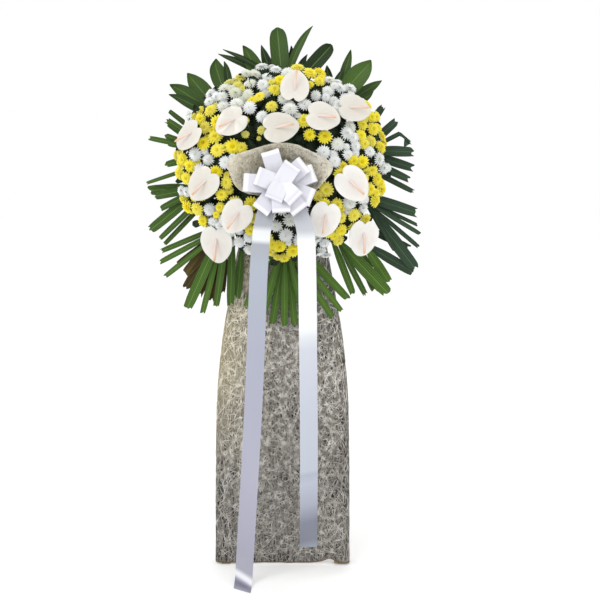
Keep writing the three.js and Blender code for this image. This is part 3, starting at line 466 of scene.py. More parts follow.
stemGreen = stemFinish()
spatheWhite = spatheFinish()
spadixPink = spadixFinish()
# Skirt fibre: the dark ground and near-black gaps are painted shade, the dark inside the skirt seen through
# the holes of its open mesh; the pale lines and loose strands are the fibre itself
fibreGrey = fibreFinish("fibreGrey", (0.012, 0.012, 0.013), (0.055, 0.052, 0.05), (0.36, 0.34, 0.31), 62,
                        (0.19, 0.175, 0.145), left=(0.50, 0.43, 0.26), hem=(0.16, 0.10, 0.05))
fibreKhaki = fibreFinish("fibreKhaki", (0.20, 0.17, 0.09), (0.48, 0.43, 0.28), (0.88, 0.84, 0.71), 70,
                         (0.68, 0.63, 0.45), (0.92, 0.87, 0.74))
fibreStrand = strandFinish()
# Bow satin: the ramp paints a bright highlight along each loop's fold, painted shade just beside it, and a
# little painted shade where each loop starts at the knot
satinBowFoldHighlights = satinFinish("satinBowFoldHighlights", [
    (0.0, 0.66, 0.66, 0.73), (0.44, 0.68, 0.68, 0.74), (0.53, 0.76, 0.76, 0.81), (0.555, 0.92, 0.92, 0.94),
    (0.566, 0.92, 0.92, 0.94), (0.598, 0.67, 0.67, 0.74), (0.66, 0.73, 0.73, 0.79), (1.0, 0.78, 0.78, 0.83)],
    (0.69, 0.69, 0.76))
# Left tail: the same ribbon as the right tail, painted darker overall as shade; the ramp paints shadow under
# the bow at the top, a highlight at the bend below the knot, a highlight where the tail bends onto the floor
# and a dark shadowed end there
satinLeftTailShaded = satinFinish("satinLeftTailShaded", [
    (0.0, 0.34, 0.35, 0.38), (0.095, 0.38, 0.40, 0.43), (0.108, 0.80, 0.82, 0.82), (0.130, 0.82, 0.84, 0.84),
    (0.140, 0.36, 0.38, 0.42), (0.19, 0.39, 0.43, 0.50), (0.4, 0.37, 0.39, 0.48), (0.7, 0.39, 0.39, 0.48),
    (0.89, 0.34, 0.34, 0.42), (0.935, 0.36, 0.36, 0.43), (0.946, 0.90, 0.91, 0.94), (0.953, 0.78, 0.79, 0.85),
    (0.960, 0.32, 0.32, 0.40), (0.970, 0.13, 0.13, 0.19), (0.985, 0.18, 0.18, 0.25), (1.0, 0.30, 0.30, 0.38)],
    (0.33, 0.33, 0.42), -0.027)
# Right tail: the same ribbon painted lighter as the lit side; the ramp paints shadow under the bow at the
# top, a long highlight below it, shade growing lower down and a dark end
satinRightTailLit = satinFinish("satinRightTailLit", [
    (0.0, 0.36, 0.37, 0.41), (0.13, 0.50, 0.52, 0.55), (0.155, 0.86, 0.88, 0.88), (0.385, 0.90, 0.92, 0.92),
    (0.42, 0.68, 0.71, 0.75), (0.45, 0.57, 0.60, 0.67), (0.62, 0.49, 0.52, 0.60), (0.785, 0.45, 0.48, 0.56),
    (0.797, 0.35, 0.38, 0.46), (0.82, 0.41, 0.44, 0.53), (0.88, 0.31, 0.33, 0.41), (0.93, 0.13, 0.14, 0.19),
    (0.98, 0.11, 0.12, 0.16), (1.0, 0.20, 0.22, 0.28)],
    (0.52, 0.54, 0.62), 0.01)
print("finishes made")

# Dome that carries the mums
dome = {"halfWidth": 312, "halfHeight": 290, "rimOut": 32, "depth": 152, "slots": 197}
collar = {"x": -6, "up": -43, "halfWidth": 150, "halfHeight": 77}


def domePoint(x, up):
    rho2 = min((x / dome["halfWidth"]) ** 2 + (up / dome["halfHeight"]) ** 2, 0.985)
    return at(x, up, dome["rimOut"] + dome["depth"] * math.sqrt(1 - rho2))


def domeNormal(p, towardsViewer):
    normal = Vector((p.x / dome["halfWidth"] ** 2, (p.y + dome["rimOut"]) / dome["depth"] ** 2,
                     p.z / dome["halfHeight"] ** 2)).normalized()
    return normal.lerp(Vector((0, -1, 0)), towardsViewer).normalized()


# Anthuriums: place of the face, way its tip points in degrees, tilt to the viewer and size
anthurium = {
    "faces": [
        (39, 207, 83, 0.55, 0.95), (-145, 97, 212, 0.55, 0.92), (-258, 62, 207, 0.05, 0.95),
        (1, 81, 7, 0.6, 1.0), (121, 113, -12, 0.6, 0.95), (209, 142, -6, 0.5, 0.95),
        (-225, -77, 229, 0.55, 1.0), (-130, -169, 236, 0.5, 1.0), (-186, -238, 264, 0.6, 1.12),
        (205, -78, -46, 0.6, 1.06), (122, -177, 258, 0.52, 1.0), (234, -222, 269, 0.65, 1.05),
    ],
    # Reach from the notch against degrees from the tip: the first and last rows only set the slopes
    "heart": [(-28, 60), (0, 72), (28, 60), (60, 49), (95, 44), (130, 41), (158, 36), (180, 23),
              (200, 14.832)],
    "rise": 34, "notchBack": 20, "room": 39, "spareRoom": 32, "cup": 0.0016, "droop": 0.0008,
    "thickness": 1.1, "rowEase": 1.15, "veinDepth": 2.4, "veinTurns": 3.4, "veinStart": 30,
    "rimWaves": ((5, 1.7, 1.5), (9, 1, 0.7)), "rimRoll": 2.2,
    "spadixLean": 0.42, "spadixStart": 2, "spadixEnd": 61, "spadixRadius": 3.4, "spadixBend": 2.5,
    "spadixTip": 0.93, "stemRadius": 2.2, "stemStart": 45, "stemSink": 6, "stemSides": 10,
    "aroundSteps": 84, "outSteps": 14, "tubeSteps": 14,
    # Tones darken each spathe towards grey: painted shade, strongest on the less lit spathes
    "tones": (0.4, 0.5, 0.5, 0.65, 0.45, 0.5, 0.5, 0.3, 0.3, 0.05, 0.0, 0.0),
}


def anthuriumFace(spec):
    x, up, tipDegrees, towardsViewer, scale = spec
    foot = domePoint(x, up)
    normal = domeNormal(foot, towardsViewer)
    turn = math.radians(tipDegrees)
    way = at(cos(turn), sin(turn), 0)
    tip = (way - normal * way.dot(normal)).normalized()
    side = normal.cross(tip)
    face = foot + normal * anthurium["rise"]
    notch = face - tip * anthurium["notchBack"] * scale
    return {"foot": foot, "normal": normal, "face": face, "tip": tip, "side": side, "notch": notch,
            "scale": scale}


spatheFaces = [anthuriumFace(spec) for spec in anthurium["faces"]]


def buildAnthurium(number, face):
    scale, normal, tip, side, notch = (face[key] for key in ("scale", "normal", "tip", "side", "notch"))
    bm = newShape()

    def place(u, v):
        degrees = 360 * u - 180
        angle = math.radians(degrees)
        reach = between(anthurium["heart"], abs(degrees)) * scale
        edge = Vector((reach * cos(angle), reach * sin(angle)))
        share = 1 - (1 - v) ** anthurium["rowEase"]
        flat = Vector((anthurium["notchBack"] * scale, 0)).lerp(edge, share)
        far, turn = flat.length, math.atan2(flat.y, flat.x)
        height = far ** 2 * (anthurium["cup"] * abs(sin(turn))
                             - anthurium["droop"] * max(cos(turn), 0))
        # Sunken veins run out from the spadix, and the rim rolls back in slow waves
        veins = abs(sin(turn * anthurium["veinTurns"])) ** 0.35 - 0.8
        height += (anthurium["veinDepth"] * veins * sin(pi * min(share, 1))
                   * min(far / anthurium["veinStart"], 1))
        ripple = sum(sin(count * angle + number * shift) * size
                     for count, shift, size in anthurium["rimWaves"])
        height += (ripple - anthurium["rimRoll"]) * share ** 8
        return notch + tip * flat.x + side * flat.y + normal * height

    addGrid(bm, anthurium["aroundSteps"], anthurium["outSteps"], place)
    weld(bm)
    bmesh.ops.recalc_face_normals(bm, faces=bm.faces)
    middle = min(bm.faces, key=lambda f: (f.calc_center_median() - face["face"]).length)
    middle.normal_update()
    if middle.normal.dot(normal) > 0:
        bmesh.ops.reverse_faces(bm, faces=bm.faces)
    bmesh.ops.solidify(bm, geom=bm.faces, thickness=-anthurium["thickness"])
    setTone(bm, bm.verts, anthurium["tones"][number])
    steps = anthurium["tubeSteps"]
    spadixWay = (tip + normal * anthurium["spadixLean"]).normalized() * scale
    start, end = (notch + spadixWay * anthurium[key] for key in ("spadixStart", "spadixEnd"))
    bend = normal * anthurium["spadixBend"]
    spadixPath = [start.lerp(end, k / steps) + bend * sin(pi * k / steps) for k in range(steps + 1)]

    def spadixRadius(s):
        swell = 0.72 + 0.4 * sin(pi * min(s * 0.75 + 0.12, 1))
        return anthurium["spadixRadius"] * scale * swell * (1 if s < anthurium["spadixTip"] else 0.68)

    addTube(bm, spadixPath, spadixRadius, steps, 1)
    neck = face["foot"] - normal * anthurium["stemSink"]
    way = neck.normalized()
    stemPath = evenPath([way * anthurium["stemStart"], way * (neck.length * 0.6), neck, notch - normal * 1.5],
                        steps)
    addTube(bm, stemPath, lambda s: anthurium["stemRadius"] * (1.05 - 0.1 * s), anthurium["stemSides"], 2)
    move(bm, leanMatrix)
    name = f"anthurium_{number + 1:02d}"
    settle(makePiece(name + "_bloom", bm, [spatheWhite, spadixPink, stemGreen]), "spathe", name)


for number, face in enumerate(spatheFaces):
    buildAnthurium(number, face)
print("anthuriums made")

# Sprays of mums: for each fork of the stem the middles of the patches that it fills
sprays = {
    "yellow": {
        "top": [[(-127, 229)], [(-7, 208), (-41, 175)], [(88, 259)]],
        "upper_left": [[(-106, 74), (-91, 100)]],
        "left": [[(-227, 68), (-180, 36), (-200, 110)], [(-311, 36)]],
        "lower_left": [[(-290, -38)], [(-265, -118), (-260, -169), (-257, -206)]],
        "inner_left": [[(-171, -52), (-187, -98), (-188, -132)], [(-91, -187)]],
        "upper_right": [[(60, 86), (95, 77), (127, 69), (66, 50)]],
        "right": [[(252, 103), (285, 105), (253, 57)], [(247, -3), (265, -45)]],
        "lower_right": [[(145, -59), (151, -103)], [(286, -111)], [(185, -141), (196, -175)]],
        "bottom": [[(158, -225), (178, -248)], [(-15, -233), (-1, -267)]],
    },
    "white": {
        "upper_left": [[(-147, 180), (-179, 187)], [(-278, 96), (-273, 41)]],
        "top": [[(-66, 212)], [(-8, 273)], [(28, 156)], [(-86, 142)]],
        "upper_right": [[(120, 188), (148, 227)], [(166, 121)]],
        "right": [[(184, 66), (213, 25), (157, -3)], [(244, 25), (308, -5)]],
        "left": [[(-183, -8), (-224, -11)], [(-302, -91)]],
        "lower_left": [[(-195, -163)], [(-119, -255), (-69, -266)]],
        "bottom": [[(10, -198)], [(71, -266), (110, -250)], [(216, -123)]],
    },
}

mum = {
    "radius": 22, "collarRoom": (12, 14), "wander": 1.5, "tilt": 0.3, "viewerTilt": 0.25,
    "grow": (0.9, 1.16), "deep": (0.8, 1.35), "lift": (-6, 8),
    "spareShare": 0.62, "spareRoom": 23, "spareGrow": (0.5, 0.8), "spareSink": 4, "seeds": (3, 8, 14),
    "small": ("spray_yellow_upper_left", 0.62), "pale": (-127, 229, 60),
    "petalBulge": 1.8, "petalThickness": 0.32, "petalSteps": (2, 3), "jitter": 0.16,
    "reachShare": (0.9, 1.04), "widthShare": (0.9, 1.08), "tipWander": 0.9, "leanWander": 0.6,
    "buttonFlat": 0.55, "buttonGrain": 1.6, "buttonBumps": 0.7,
    "calyxRadii": (2.0, 7.0), "calyxDepth": 9.5, "calyxUp": -3.6, "headReach": 25, "headBack": -4,
    "white": {
        "rings": [  # petals, root, reach, width, height of the root and the tip, cup
            (17, 3.5, 24.0, 5.8, 0.4, 0.0, 0.9), (16, 3.0, 21.5, 5.8, 1.8, 4.6, 1.0),
            (13, 2.0, 16.0, 5.2, 3.2, 8.6, 1.1), (8, 1.0, 9.0, 4.4, 4.6, 10.6, 1.2),
        ],
        "widths": [(0, 0.4), (0.3, 0.85), (0.6, 1), (0.85, 0.62), (1, 0.1)],
        "button": 2.2, "buttonHeight": 6.4,
    },
    "yellow": {
        "rings": [
            (16, 3.5, 23.0, 7.2, 0.6, 0.2, 0.9), (14, 3.2, 19.5, 7.0, 2.2, 4.2, 1.0),
            (12, 2.8, 14.0, 6.0, 3.4, 7.2, 1.1),
        ],
        "widths": [(0, 0.4), (0.35, 0.85), (0.7, 1), (0.9, 0.82), (1, 0.42)],
        "button": 4.4, "buttonHeight": 5.0,
    },
}


def bloomPlaces():
    golden = pi * (3 - math.sqrt(5))
    places = []
    for i in range(dome["slots"]):
        t = (i + 0.5) / dome["slots"]
        rho = math.sqrt(1.5 * t - 0.5 * t * t)  # closer towards the rim, where the dome falls away
        x = rho * dome["halfWidth"] * cos(i * golden) + spread(i, 1, mum["wander"])
        up = rho * dome["halfHeight"] * sin(i * golden) + spread(i, 2, mum["wander"])
        centre = domePoint(x, up)
        roomX, roomUp = mum["collarRoom"]
        underCollar = (((x - collar["x"]) / (collar["halfWidth"] + roomX)) ** 2
                       + ((up - collar["up"]) / (collar["halfHeight"] + roomUp)) ** 2) < 1
        underSpathe = any((f["foot"] - centre).length < anthurium["room"] * f["scale"] for f in spatheFaces)
        if not underCollar and not underSpathe:
            places.append({"slot": i, "centre": centre})
    for place in places:
        centre = place["centre"]
        place["spray"] = min((math.hypot(centre.x - x, centre.z - up), f"spray_{colour}_{name}")
                             for colour, own in sprays.items() for name, forks in own.items()
                             for fork in forks for x, up in fork)[1]
        near = min((other["centre"] - centre).length for other in places if other is not place)
        place["radius"] = min(mum["radius"], near * 0.5 - 0.5)
        normal = domeNormal(centre, mum["viewerTilt"])
        normal.x += spread(place["slot"], 3, mum["tilt"])
        normal.z += spread(place["slot"], 4, mum["tilt"])
        place["normal"] = normal.normalized()
        place["spin"] = scatter(place["slot"], 5) * 2 * pi
    return places


def spareBlooms(places):
    # Smaller blooms that fill a few of the gaps between the others
    spares = []
    small, large = mum["spareGrow"]
    for place in places:
        slot = place["slot"]
        if scatter(slot, 31) > mum["spareShare"]:
            continue
        side, other = across(place["normal"])
        for n in range(5):
            angle = 2 * pi * scatter(slot, 40 + n)
            way = turned(side, other, angle)
            spot = place["centre"] + way * (mum["spareRoom"] + 3)
            near = min((p["centre"] - spot).length for p in places + spares)
            clear = all((face["foot"] - spot).length > anthurium["spareRoom"] * face["scale"]
                        for face in spatheFaces)
            if near > mum["spareRoom"] * 0.92 and clear:
                normal = (place["normal"] + side * spread(slot, 50, mum["tilt"])).normalized()
                spares.append({"slot": slot + 500, "centre": spot - normal * mum["spareSink"],
                               "spray": place["spray"], "normal": normal, "spin": angle,
                               "radius": mum["radius"] * (small + scatter(slot, 51) * (large - small))})
                break
    return spares


def bloomTemplate(colour, seed):
    # One mum of the full radius, facing +Z, in millimetres
    draws = random.Random(seed)
    shape = mum[colour]
    jitter, tipWander, leanWander = mum["jitter"], mum["tipWander"], mum["leanWander"]
    bm = newShape()
    for count, root, reach, width, rootUp, tipUp, cup in shape["rings"]:
        offset = draws.random()
        for n in range(count):
            share = (n + offset + draws.uniform(-jitter, jitter)) / count
            turn = Matrix.Rotation(2 * pi * share, 4, "Z")
            full = reach * draws.uniform(*mum["reachShare"])
            lift = tipUp + draws.uniform(-tipWander, tipWander)
            lean = draws.uniform(-leanWander, leanWander)
            wide = width * draws.uniform(*mum["widthShare"])

            def place(u, v):
                s = 2 * u - 1
                half = wide / 2 * between(shape["widths"], v)
                away = root + (full - root) * v
                bulge = mum["petalBulge"] * sin(pi * v)
                up = rootUp + (lift - rootUp) * v + bulge + cup * s * s * (1 - 0.4 * v)
                return turn @ Vector((away, s * half + lean * v * v, up))

            addSheet(bm, *mum["petalSteps"], place, mum["petalThickness"])
    button = bmesh.ops.create_icosphere(bm, subdivisions=2, radius=shape["button"])["verts"]
    for vert in button:
        grain = vert.co * mum["buttonGrain"] + Vector((seed, 0, 0))
        bump = vert.co.normalized() * (noise.noise(grain) * mum["buttonBumps"])
        height = vert.co.z * mum["buttonFlat"] + shape["buttonHeight"]
        vert.co = Vector((vert.co.x, vert.co.y, height)) + bump
    setMaterial(button, 1)
    bottom, top = mum["calyxRadii"]
    calyx = bmesh.ops.create_cone(bm, cap_ends=True, segments=10, radius1=bottom, radius2=top,
                                  depth=mum["calyxDepth"])["verts"]
    bmesh.ops.translate(bm, verts=calyx, vec=(0, 0, mum["calyxUp"]))
    setMaterial(calyx, 2)
    bmesh.ops.recalc_face_normals(bm, faces=bm.faces)
    mesh = bpy.data.meshes.new("mumTemplate")
    bm.to_mesh(mesh)
    bm.free()
    return mesh


mumLeafShape = {
    "length": (34, 56), "width": (22, 32), "away": (11, 22), "droop": (-14, 4), "twist": 0.5,
    "thickness": 0.5, "columns": 4, "rows": 6,
    "perBloom": 3, "deep": 3, "deepSize": 1.7, "deepAway": 24, "rimStart": 195,
    "widths": [(0, 0.12), (0.2, 0.5), (0.34, 0.62), (0.42, 0.5), (0.6, 1), (0.7, 0.72), (0.82, 0.8),
               (0.93, 0.45), (1, 0.08)],
}


def addMumLeaves(bm, place, draws):
    # Lobed leaves spread under the bloom and hide the stems
    shape = mumLeafShape
    centre, normal = place["centre"], place["normal"]
    side, other = across(normal)
    fromAxis = Vector((centre.x, 0, centre.z))
    for n in range(shape["perBloom"] + shape["deep"]):
        deep = n >= shape["perBloom"]
        size = shape["deepSize"] if deep else 1
        angle = place["spin"] + 2 * pi * (n + draws.random() * 0.7) / 3
        way = turned(side, other, angle)
        if deep and fromAxis.length > shape["rimStart"] and way.dot(fromAxis) > 0:
            way = -way
        level = normal.cross(way)
        length = draws.uniform(*shape["length"]) * size
        width = draws.uniform(*shape["width"]) * size
        away = draws.uniform(*shape["away"]) + (shape["deepAway"] if deep else 0)
        root = centre - normal * away - way * (12 if deep else -2)
        droop = draws.uniform(*shape["droop"])
        twist = draws.uniform(-shape["twist"], shape["twist"])

        def spot(u, v):
            s = 2 * u - 1
            half = width / 2 * between(shape["widths"], v)
            turn = twist * v
            flat = turned(level, normal, turn)
            lift = droop * v * v + 3 * s * s - 1.5 * sin(9 * v + 3 * s)
            return root + way * length * v + flat * s * half + normal * lift

        verts, faces, made = addSheet(bm, shape["columns"], shape["rows"], spot, shape["thickness"], 3)
        setTone(bm, {v for f in faces for v in f.verts}, draws.random())


def buildSprays():
    places = bloomPlaces()
    spares = spareBlooms(places)
    print(len(places), "blooms and", len(spares), "small ones")
    templates = {colour: [bloomTemplate(colour, seed) for seed in mum["seeds"]]
                 for colour in ("white", "yellow")}
    smallSpray, smallSize = mum["small"]
    paleX, paleUp, paleReach = mum["pale"]
    pairs = [(colour, f"spray_{colour}_{name}") for colour, own in sprays.items() for name in own]
    for number, (colour, name) in enumerate(pairs):
        draws = random.Random(100 + number)
        own = [p for p in places if p["spray"] == name]
        bm = newShape()
        bm.from_mesh(nodes[name].data)
        move(bm, fromLean)
        weld(bm, 1e-3)

        def inHead(co):
            # The solid's own plain blooms give way, and its stems stay
            return any((co - p["centre"]).length < mum["headReach"]
                       and (co - p["centre"]).dot(p["normal"]) > mum["headBack"] for p in own)

        bmesh.ops.delete(bm, geom=[v for v in bm.verts if inHead(v.co)], context="VERTS")
        bmesh.ops.holes_fill(bm, edges=bm.edges, sides=8)
        setMaterial(bm.verts, 2)
        for place in own:
            addMumLeaves(bm, place, draws)
        for place in own + [spare for spare in spares if spare["spray"] == name]:
            centre, normal = place["centre"], place["normal"]
            mesh = draws.choice(templates[colour]).copy()
            size = place["radius"] / mum["radius"] * draws.uniform(*mum["grow"])
            if name == smallSpray:
                size *= smallSize
            turn = Matrix((*across(normal), normal)).transposed().to_4x4()
            lift = Matrix.Translation(centre + normal * draws.uniform(*mum["lift"]))
            shape = Matrix.Diagonal((size, size, size * draws.uniform(*mum["deep"]), 1))
            mesh.transform(lift @ turn @ Matrix.Rotation(place["spin"], 4, "Z") @ shape)
            tone = draws.random() ** 2 * 0.5
            if name == smallSpray or math.hypot(centre.x - paleX, centre.z - paleUp) < paleReach:
                tone = draws.uniform(0.6, 1)
            mesh.attributes["tone"].data.foreach_set("value", [tone] * len(mesh.vertices))
            bm.from_mesh(mesh)
            bpy.data.meshes.remove(mesh)
        move(bm, leanMatrix)
        finishes = [petalWhite, buttonGreen] if colour == "white" else [petalYellow, buttonYellow]
        piece = makePiece(name + "_blooms", bm, [*finishes, stemGreen, mumLeaf])
        settle(piece, colour + "_mum", name)
    for mesh in templates["white"] + templates["yellow"]:
        bpy.data.meshes.remove(mesh)


buildSprays()
print("sprays made")

# Foliage: layer, finish and tones (low and high, or one for each leaf), the stem through three points,
# then blades as share along the stem, tip and width, and for some the form and how far the middle bends
foliage = {
    "frond_left_upper": ("strap", -20, strapBright, (0.0, 0.5), [
        (-60, 12), (-205, 40), (-268, 60)], [
        (0.55, -350, 172, 16), (0.7, -356, 142, 22), (0.8, -362, 96, 18), (0.9, -352, 128, 14),
        (1, -412, 88, 16), (0.95, -350, 70, 20), (0.75, -360, 6, 22), (0.5, -418, -52, 12)]),
    "frond_left_middle": ("strap", -33, strapBright, (0.0, 0.5), [
        (-60, -16), (-200, -52), (-262, -70)], [
        (0.9, -412, -72, 34), (0.75, -398, -92, 26), (0.95, -410, -196, 32), (0.7, -378, -222, 18),
        (0.6, -366, -240, 16), (1, -376, -130, 20)]),
    "frond_left_lower": ("strap", -20, strapBright, (0.25, 0.8), [
        (-42, -46), (-150, -160), (-190, -205)], [
        (0.8, -374, -262, 17), (0.9, -376, -296, 17), (0.95, -362, -340, 17), (1, -290, -432, 34),
        (0.95, -246, -452, 19), (0.85, -204, -432, 22), (0.75, -160, -428, 25)]),
    "frond_bottom": ("strap", -33, strapBright, (0.5, 1.0), [
        (6, -62), (8, -200), (8, -262)], [
        (0.6, -112, -430, 22), (0.75, -62, -462, 24), (0.9, -30, -482, 24), (1, 6, -492, 22),
        (0.9, 38, -486, 24), (0.75, 66, -470, 20), (0.9, 155, -466, 20), (0.8, 182, -446, 18),
        (0.7, 202, -408, 25)]),
    "frond_right_lower": ("strap", -20, strapBright, (0.1, 0.7), [
        (42, -46), (130, -175), (165, -225)], [
        (0.8, 218, -394, 22), (1, 256, -396, 19), (0.95, 324, -390, 40)]),
    "frond_right_middle": ("strap", -33, strapShadeAndSheen, (0.1, 0.9), [
        (60, -16), (205, -75), (262, -110)], [
        (0.95, 412, -316, 38), (1, 346, -258, 14), (0.95, 422, -248, 14), (0.9, 426, -208, 14),
        (0.8, 418, -180, 12), (0.7, 414, -142, 34)]),
    "frond_right_upper": ("strap", -20, strapShadeAndSheen, (0.1, 0.8), [
        (60, 14), (205, 42), (262, 50)], [
        (0.6, 404, -78, 17), (0.75, 388, -40, 24), (0.9, 402, -4, 28), (1, 402, 44, 32),
        (1, 396, 74, 15, "folded", -34), (0.95, 352, 140, 26), (0.75, 310, 186, 24)]),
    "leafy_stem_left": ("leaf", -5, broadGreen, (0.68, 0.62, 0.3), [
        (-48, 26), (-150, 120), (-180, 150)], [
        (1, -294, 288, 58), (0.9, -344, 254, 50), (0.8, -346, 222, 32)]),
    "leafy_stem_upper_left": ("leaf", -8, broadGreen, (0.6, 0.15), [
        (-28, 52), (-130, 150), (-172, 205)], [
        (1, -214, 332, 50), (0.85, -176, 324, 24)]),
    "leafy_stem_top": ("leaf", -5, broadGreen, (0.0, 0.55, 0.6, 0.0, 0.05, 0.55, 0.0, 0.1, 0.0), [
        (2, 60), (4, 190), (6, 220)], [
        (0.7, -66, 376, 34), (0.9, -16, 428, 56, "blunt"), (0.85, -116, 372, 50, "leaf", -15),
        (0.8, 34, 370, 32), (0.95, 152, 374, 48, "blunt"), (1, 90, 432, 24, "leaf", -14),
        (0.6, 72, 350, 30), (1, -200, 345, 22, "leaf", 18), (0.95, -184, 356, 16, "leaf", 22)]),
    "leafy_stem_right": ("leaf", -8, broadGreen, (0.05, 0.45, 1.0, 0.5, 0.3, 0.05), [
        (40, 44), (138, 150), (165, 178)], [
        (0.85, 140, 312, 34), (0.95, 212, 358, 30), (1, 276, 322, 64, "leaf", -8), (0.95, 308, 266, 32),
        (0.8, 286, 226, 28), (0.6, 186, 300, 28)]),
}

bladeShape = {
    "strap": {"fold": 0.10, "stem": 3.4, "twist": 0.2, "columns": 5, "rows": 18, "slot": "frond"},
    "leaf": {"fold": 0.12, "stem": 3.0, "twist": 0.12, "columns": 6, "rows": 26, "slot": "broad_leaf"},
    "thickness": 0.7, "ragged": 0.24, "hook": 9, "rise": 0.7, "stemTaper": 0.4, "stemSides": 8,
    "forms": {
        "strap": [(0, 0.12), (0.22, 0.6), (0.5, 1), (0.9, 0.96), (1, 0.8)],
        "folded": [(0, 0.2), (0.3, 0.8), (0.6, 1), (1, 0.88)],
        "leaf": [(0, 0.12), (0.25, 0.66), (0.5, 1), (0.72, 0.95), (0.87, 0.62), (0.96, 0.24), (1, 0.03)],
        "blunt": [(0, 0.25), (0.3, 0.84), (0.6, 1), (0.84, 0.97), (0.93, 0.8), (0.975, 0.52), (1, 0.1)],
    },
}
# More blades behind, green (0) or brown (2): frond, material, layer, root, then tips and widths
bladesBehind = [(*row, tip) for *row, tips in (
    ("frond_left_lower", 2, -14, (-182, -196), [(-300, -330, 32), (-296, -372, 32), (-262, -392, 38),
                                                (-226, -412, 32), (-192, -388, 34), (-322, -300, 20)]),
    ("frond_left_lower", 0, -10, (-124, -236), [(-140, -404, 26)]),
    ("frond_right_middle", 0, -8, (236, -226), [(404, -326, 30)]),
    ("frond_right_middle", 0, -8, (232, -176), [(392, -250, 24)]),
    ("frond_right_lower", 0, -10, (232, -236), [(290, -384, 34)]),
    ("frond_right_lower", 0, -10, (250, -236), [(326, -352, 30)]),
) for tip in tips]


def onStem(stem, share):
    lengths = stepLengths(stem)
    rest = share * sum(lengths)
    for k, length in enumerate(lengths):
        if rest <= length or k == len(lengths) - 1:
            return stem[k].lerp(stem[k + 1], min(rest / length, 1))
        rest -= length


def addBlade(bm, root, tip, width, kind, form, bend, seed, rise, tone, material=0):
    shape = bladeShape[kind]
    way = (tip - root).normalized()
    level = way.cross(at(0, 0, 1)).normalized()
    lift = level.cross(way).normalized()
    twist = spread(seed, 6, shape["twist"])
    length = (tip - root).length
    ragged = [spread(seed, 20 + n, bladeShape["ragged"]) * width / length for n in range(8)]
    hook = spread(seed, 7, bladeShape["hook"])

    def place(u, v):
        s = 2 * u - 1
        full = width * between(bladeShape["forms"][form], v)
        arch = sin(pi * v)
        swell = min(v / 0.8, (1 - v) / 0.2) if form == "folded" else arch
        middle = root.lerp(tip, v) + lift * rise * bladeShape["rise"] * arch + level * bend * swell
        turn = twist * v
        side = turned(level, lift, turn)
        height = shape["fold"] * full * (abs(s) - 1)
        if kind == "leaf":
            height += 0.05 * width * sin(7 * v + seed) * s * s
            height -= 0.10 * width * v * v * (1 - 0.5 * abs(s))
            if form == "leaf":
                middle += (level - lift * 0.6) * hook * max(0, (v - 0.8) / 0.2) ** 2
        else:
            height += 0.03 * width * sin(16 * v + seed) * s
            if v > 0.999:
                middle += way * length * ragged[round(u * shape["columns"])]
        return middle + side * s * full / 2 + lift * height

    verts, faces, made = addSheet(bm, shape["columns"], shape["rows"], place, bladeShape["thickness"],
                                  material)
    setTone(bm, {v for f in faces for v in f.verts}, tone)


def buildFoliage():
    for n, (name, (kind, layer, finish, tones, spots, tips)) in enumerate(foliage.items()):
        shape = bladeShape[kind]
        stem = [at(x, up, layer) for x, up in spots]
        bm = newShape()
        for k, (share, x, up, width, *rest) in enumerate(tips):
            form, bend = (*rest, *(kind, 0)[len(rest):])
            rise = ((k % 3) - 1) * 9 if kind == "leaf" else ((k % 2) - 0.5) * 7
            seed = 40 * (n + 1) + k
            tone = tones[k] if kind == "leaf" else tones[0] + (tones[1] - tones[0]) * scatter(seed, 9)
            addBlade(bm, onStem(stem, share), at(x, up, layer + rise), width, kind, form, bend,
                     seed, rise, tone)
        for k, (owner, material, back, root, (x, up, width)) in enumerate(bladesBehind):
            if owner == name:
                addBlade(bm, at(*root, layer + (0 if material else back)), at(x, up, layer + back), width,
                         kind, kind, 0, 700 + k, -8, scatter(k, 9), material)
        addTube(bm, evenPath(stem, 10), lambda s: shape["stem"] * (1 - bladeShape["stemTaper"] * s),
                bladeShape["stemSides"], 1)
        move(bm, leanMatrix)
        piece = makePiece(name + "_leaves", bm, [finish, stemGreen, strapBrown], 35)
        settle(piece, shape["slot"], name)


buildFoliage()
print("foliage made")

# Collar: rings of half width, half height and distance out, drawn in to the pick of the bow
collarShape = {
    "rings": [(2.5, 2.5, 150), (58, 33, 154), (108, 57, 178), (150, 77, 205)], "thickness": 1.0,
    "aroundSteps": 110, "outSteps": 22, "wave": 0.045, "tip": 3.2, "crinkle": 2.2, "ragged": 1.6,
    "fibres": {"count": 900, "seed": 21, "step": (1 / 720, 1 / 150), "length": (22, 70),
               "radius": 0.4, "wander": 0.22, "turn": 2, "inner": 0.25, "lift": 0.6},
}
bow = {"x": -3, "up": -86.5, "out": 226, "knotRadius": 16, "knotBack": 9, "knotDepth": 30,
       "knotSteps": (36, 8), "ribbonWidth": 52, "gather": 0.3, "thickness": 0.5, "loopSteps": (10, 40),
       "halves": [(0, 0.75), (0.3, 0.96), (0.6, 1), (1, 1)], "crimp": 2.4, "sag": 1.6}


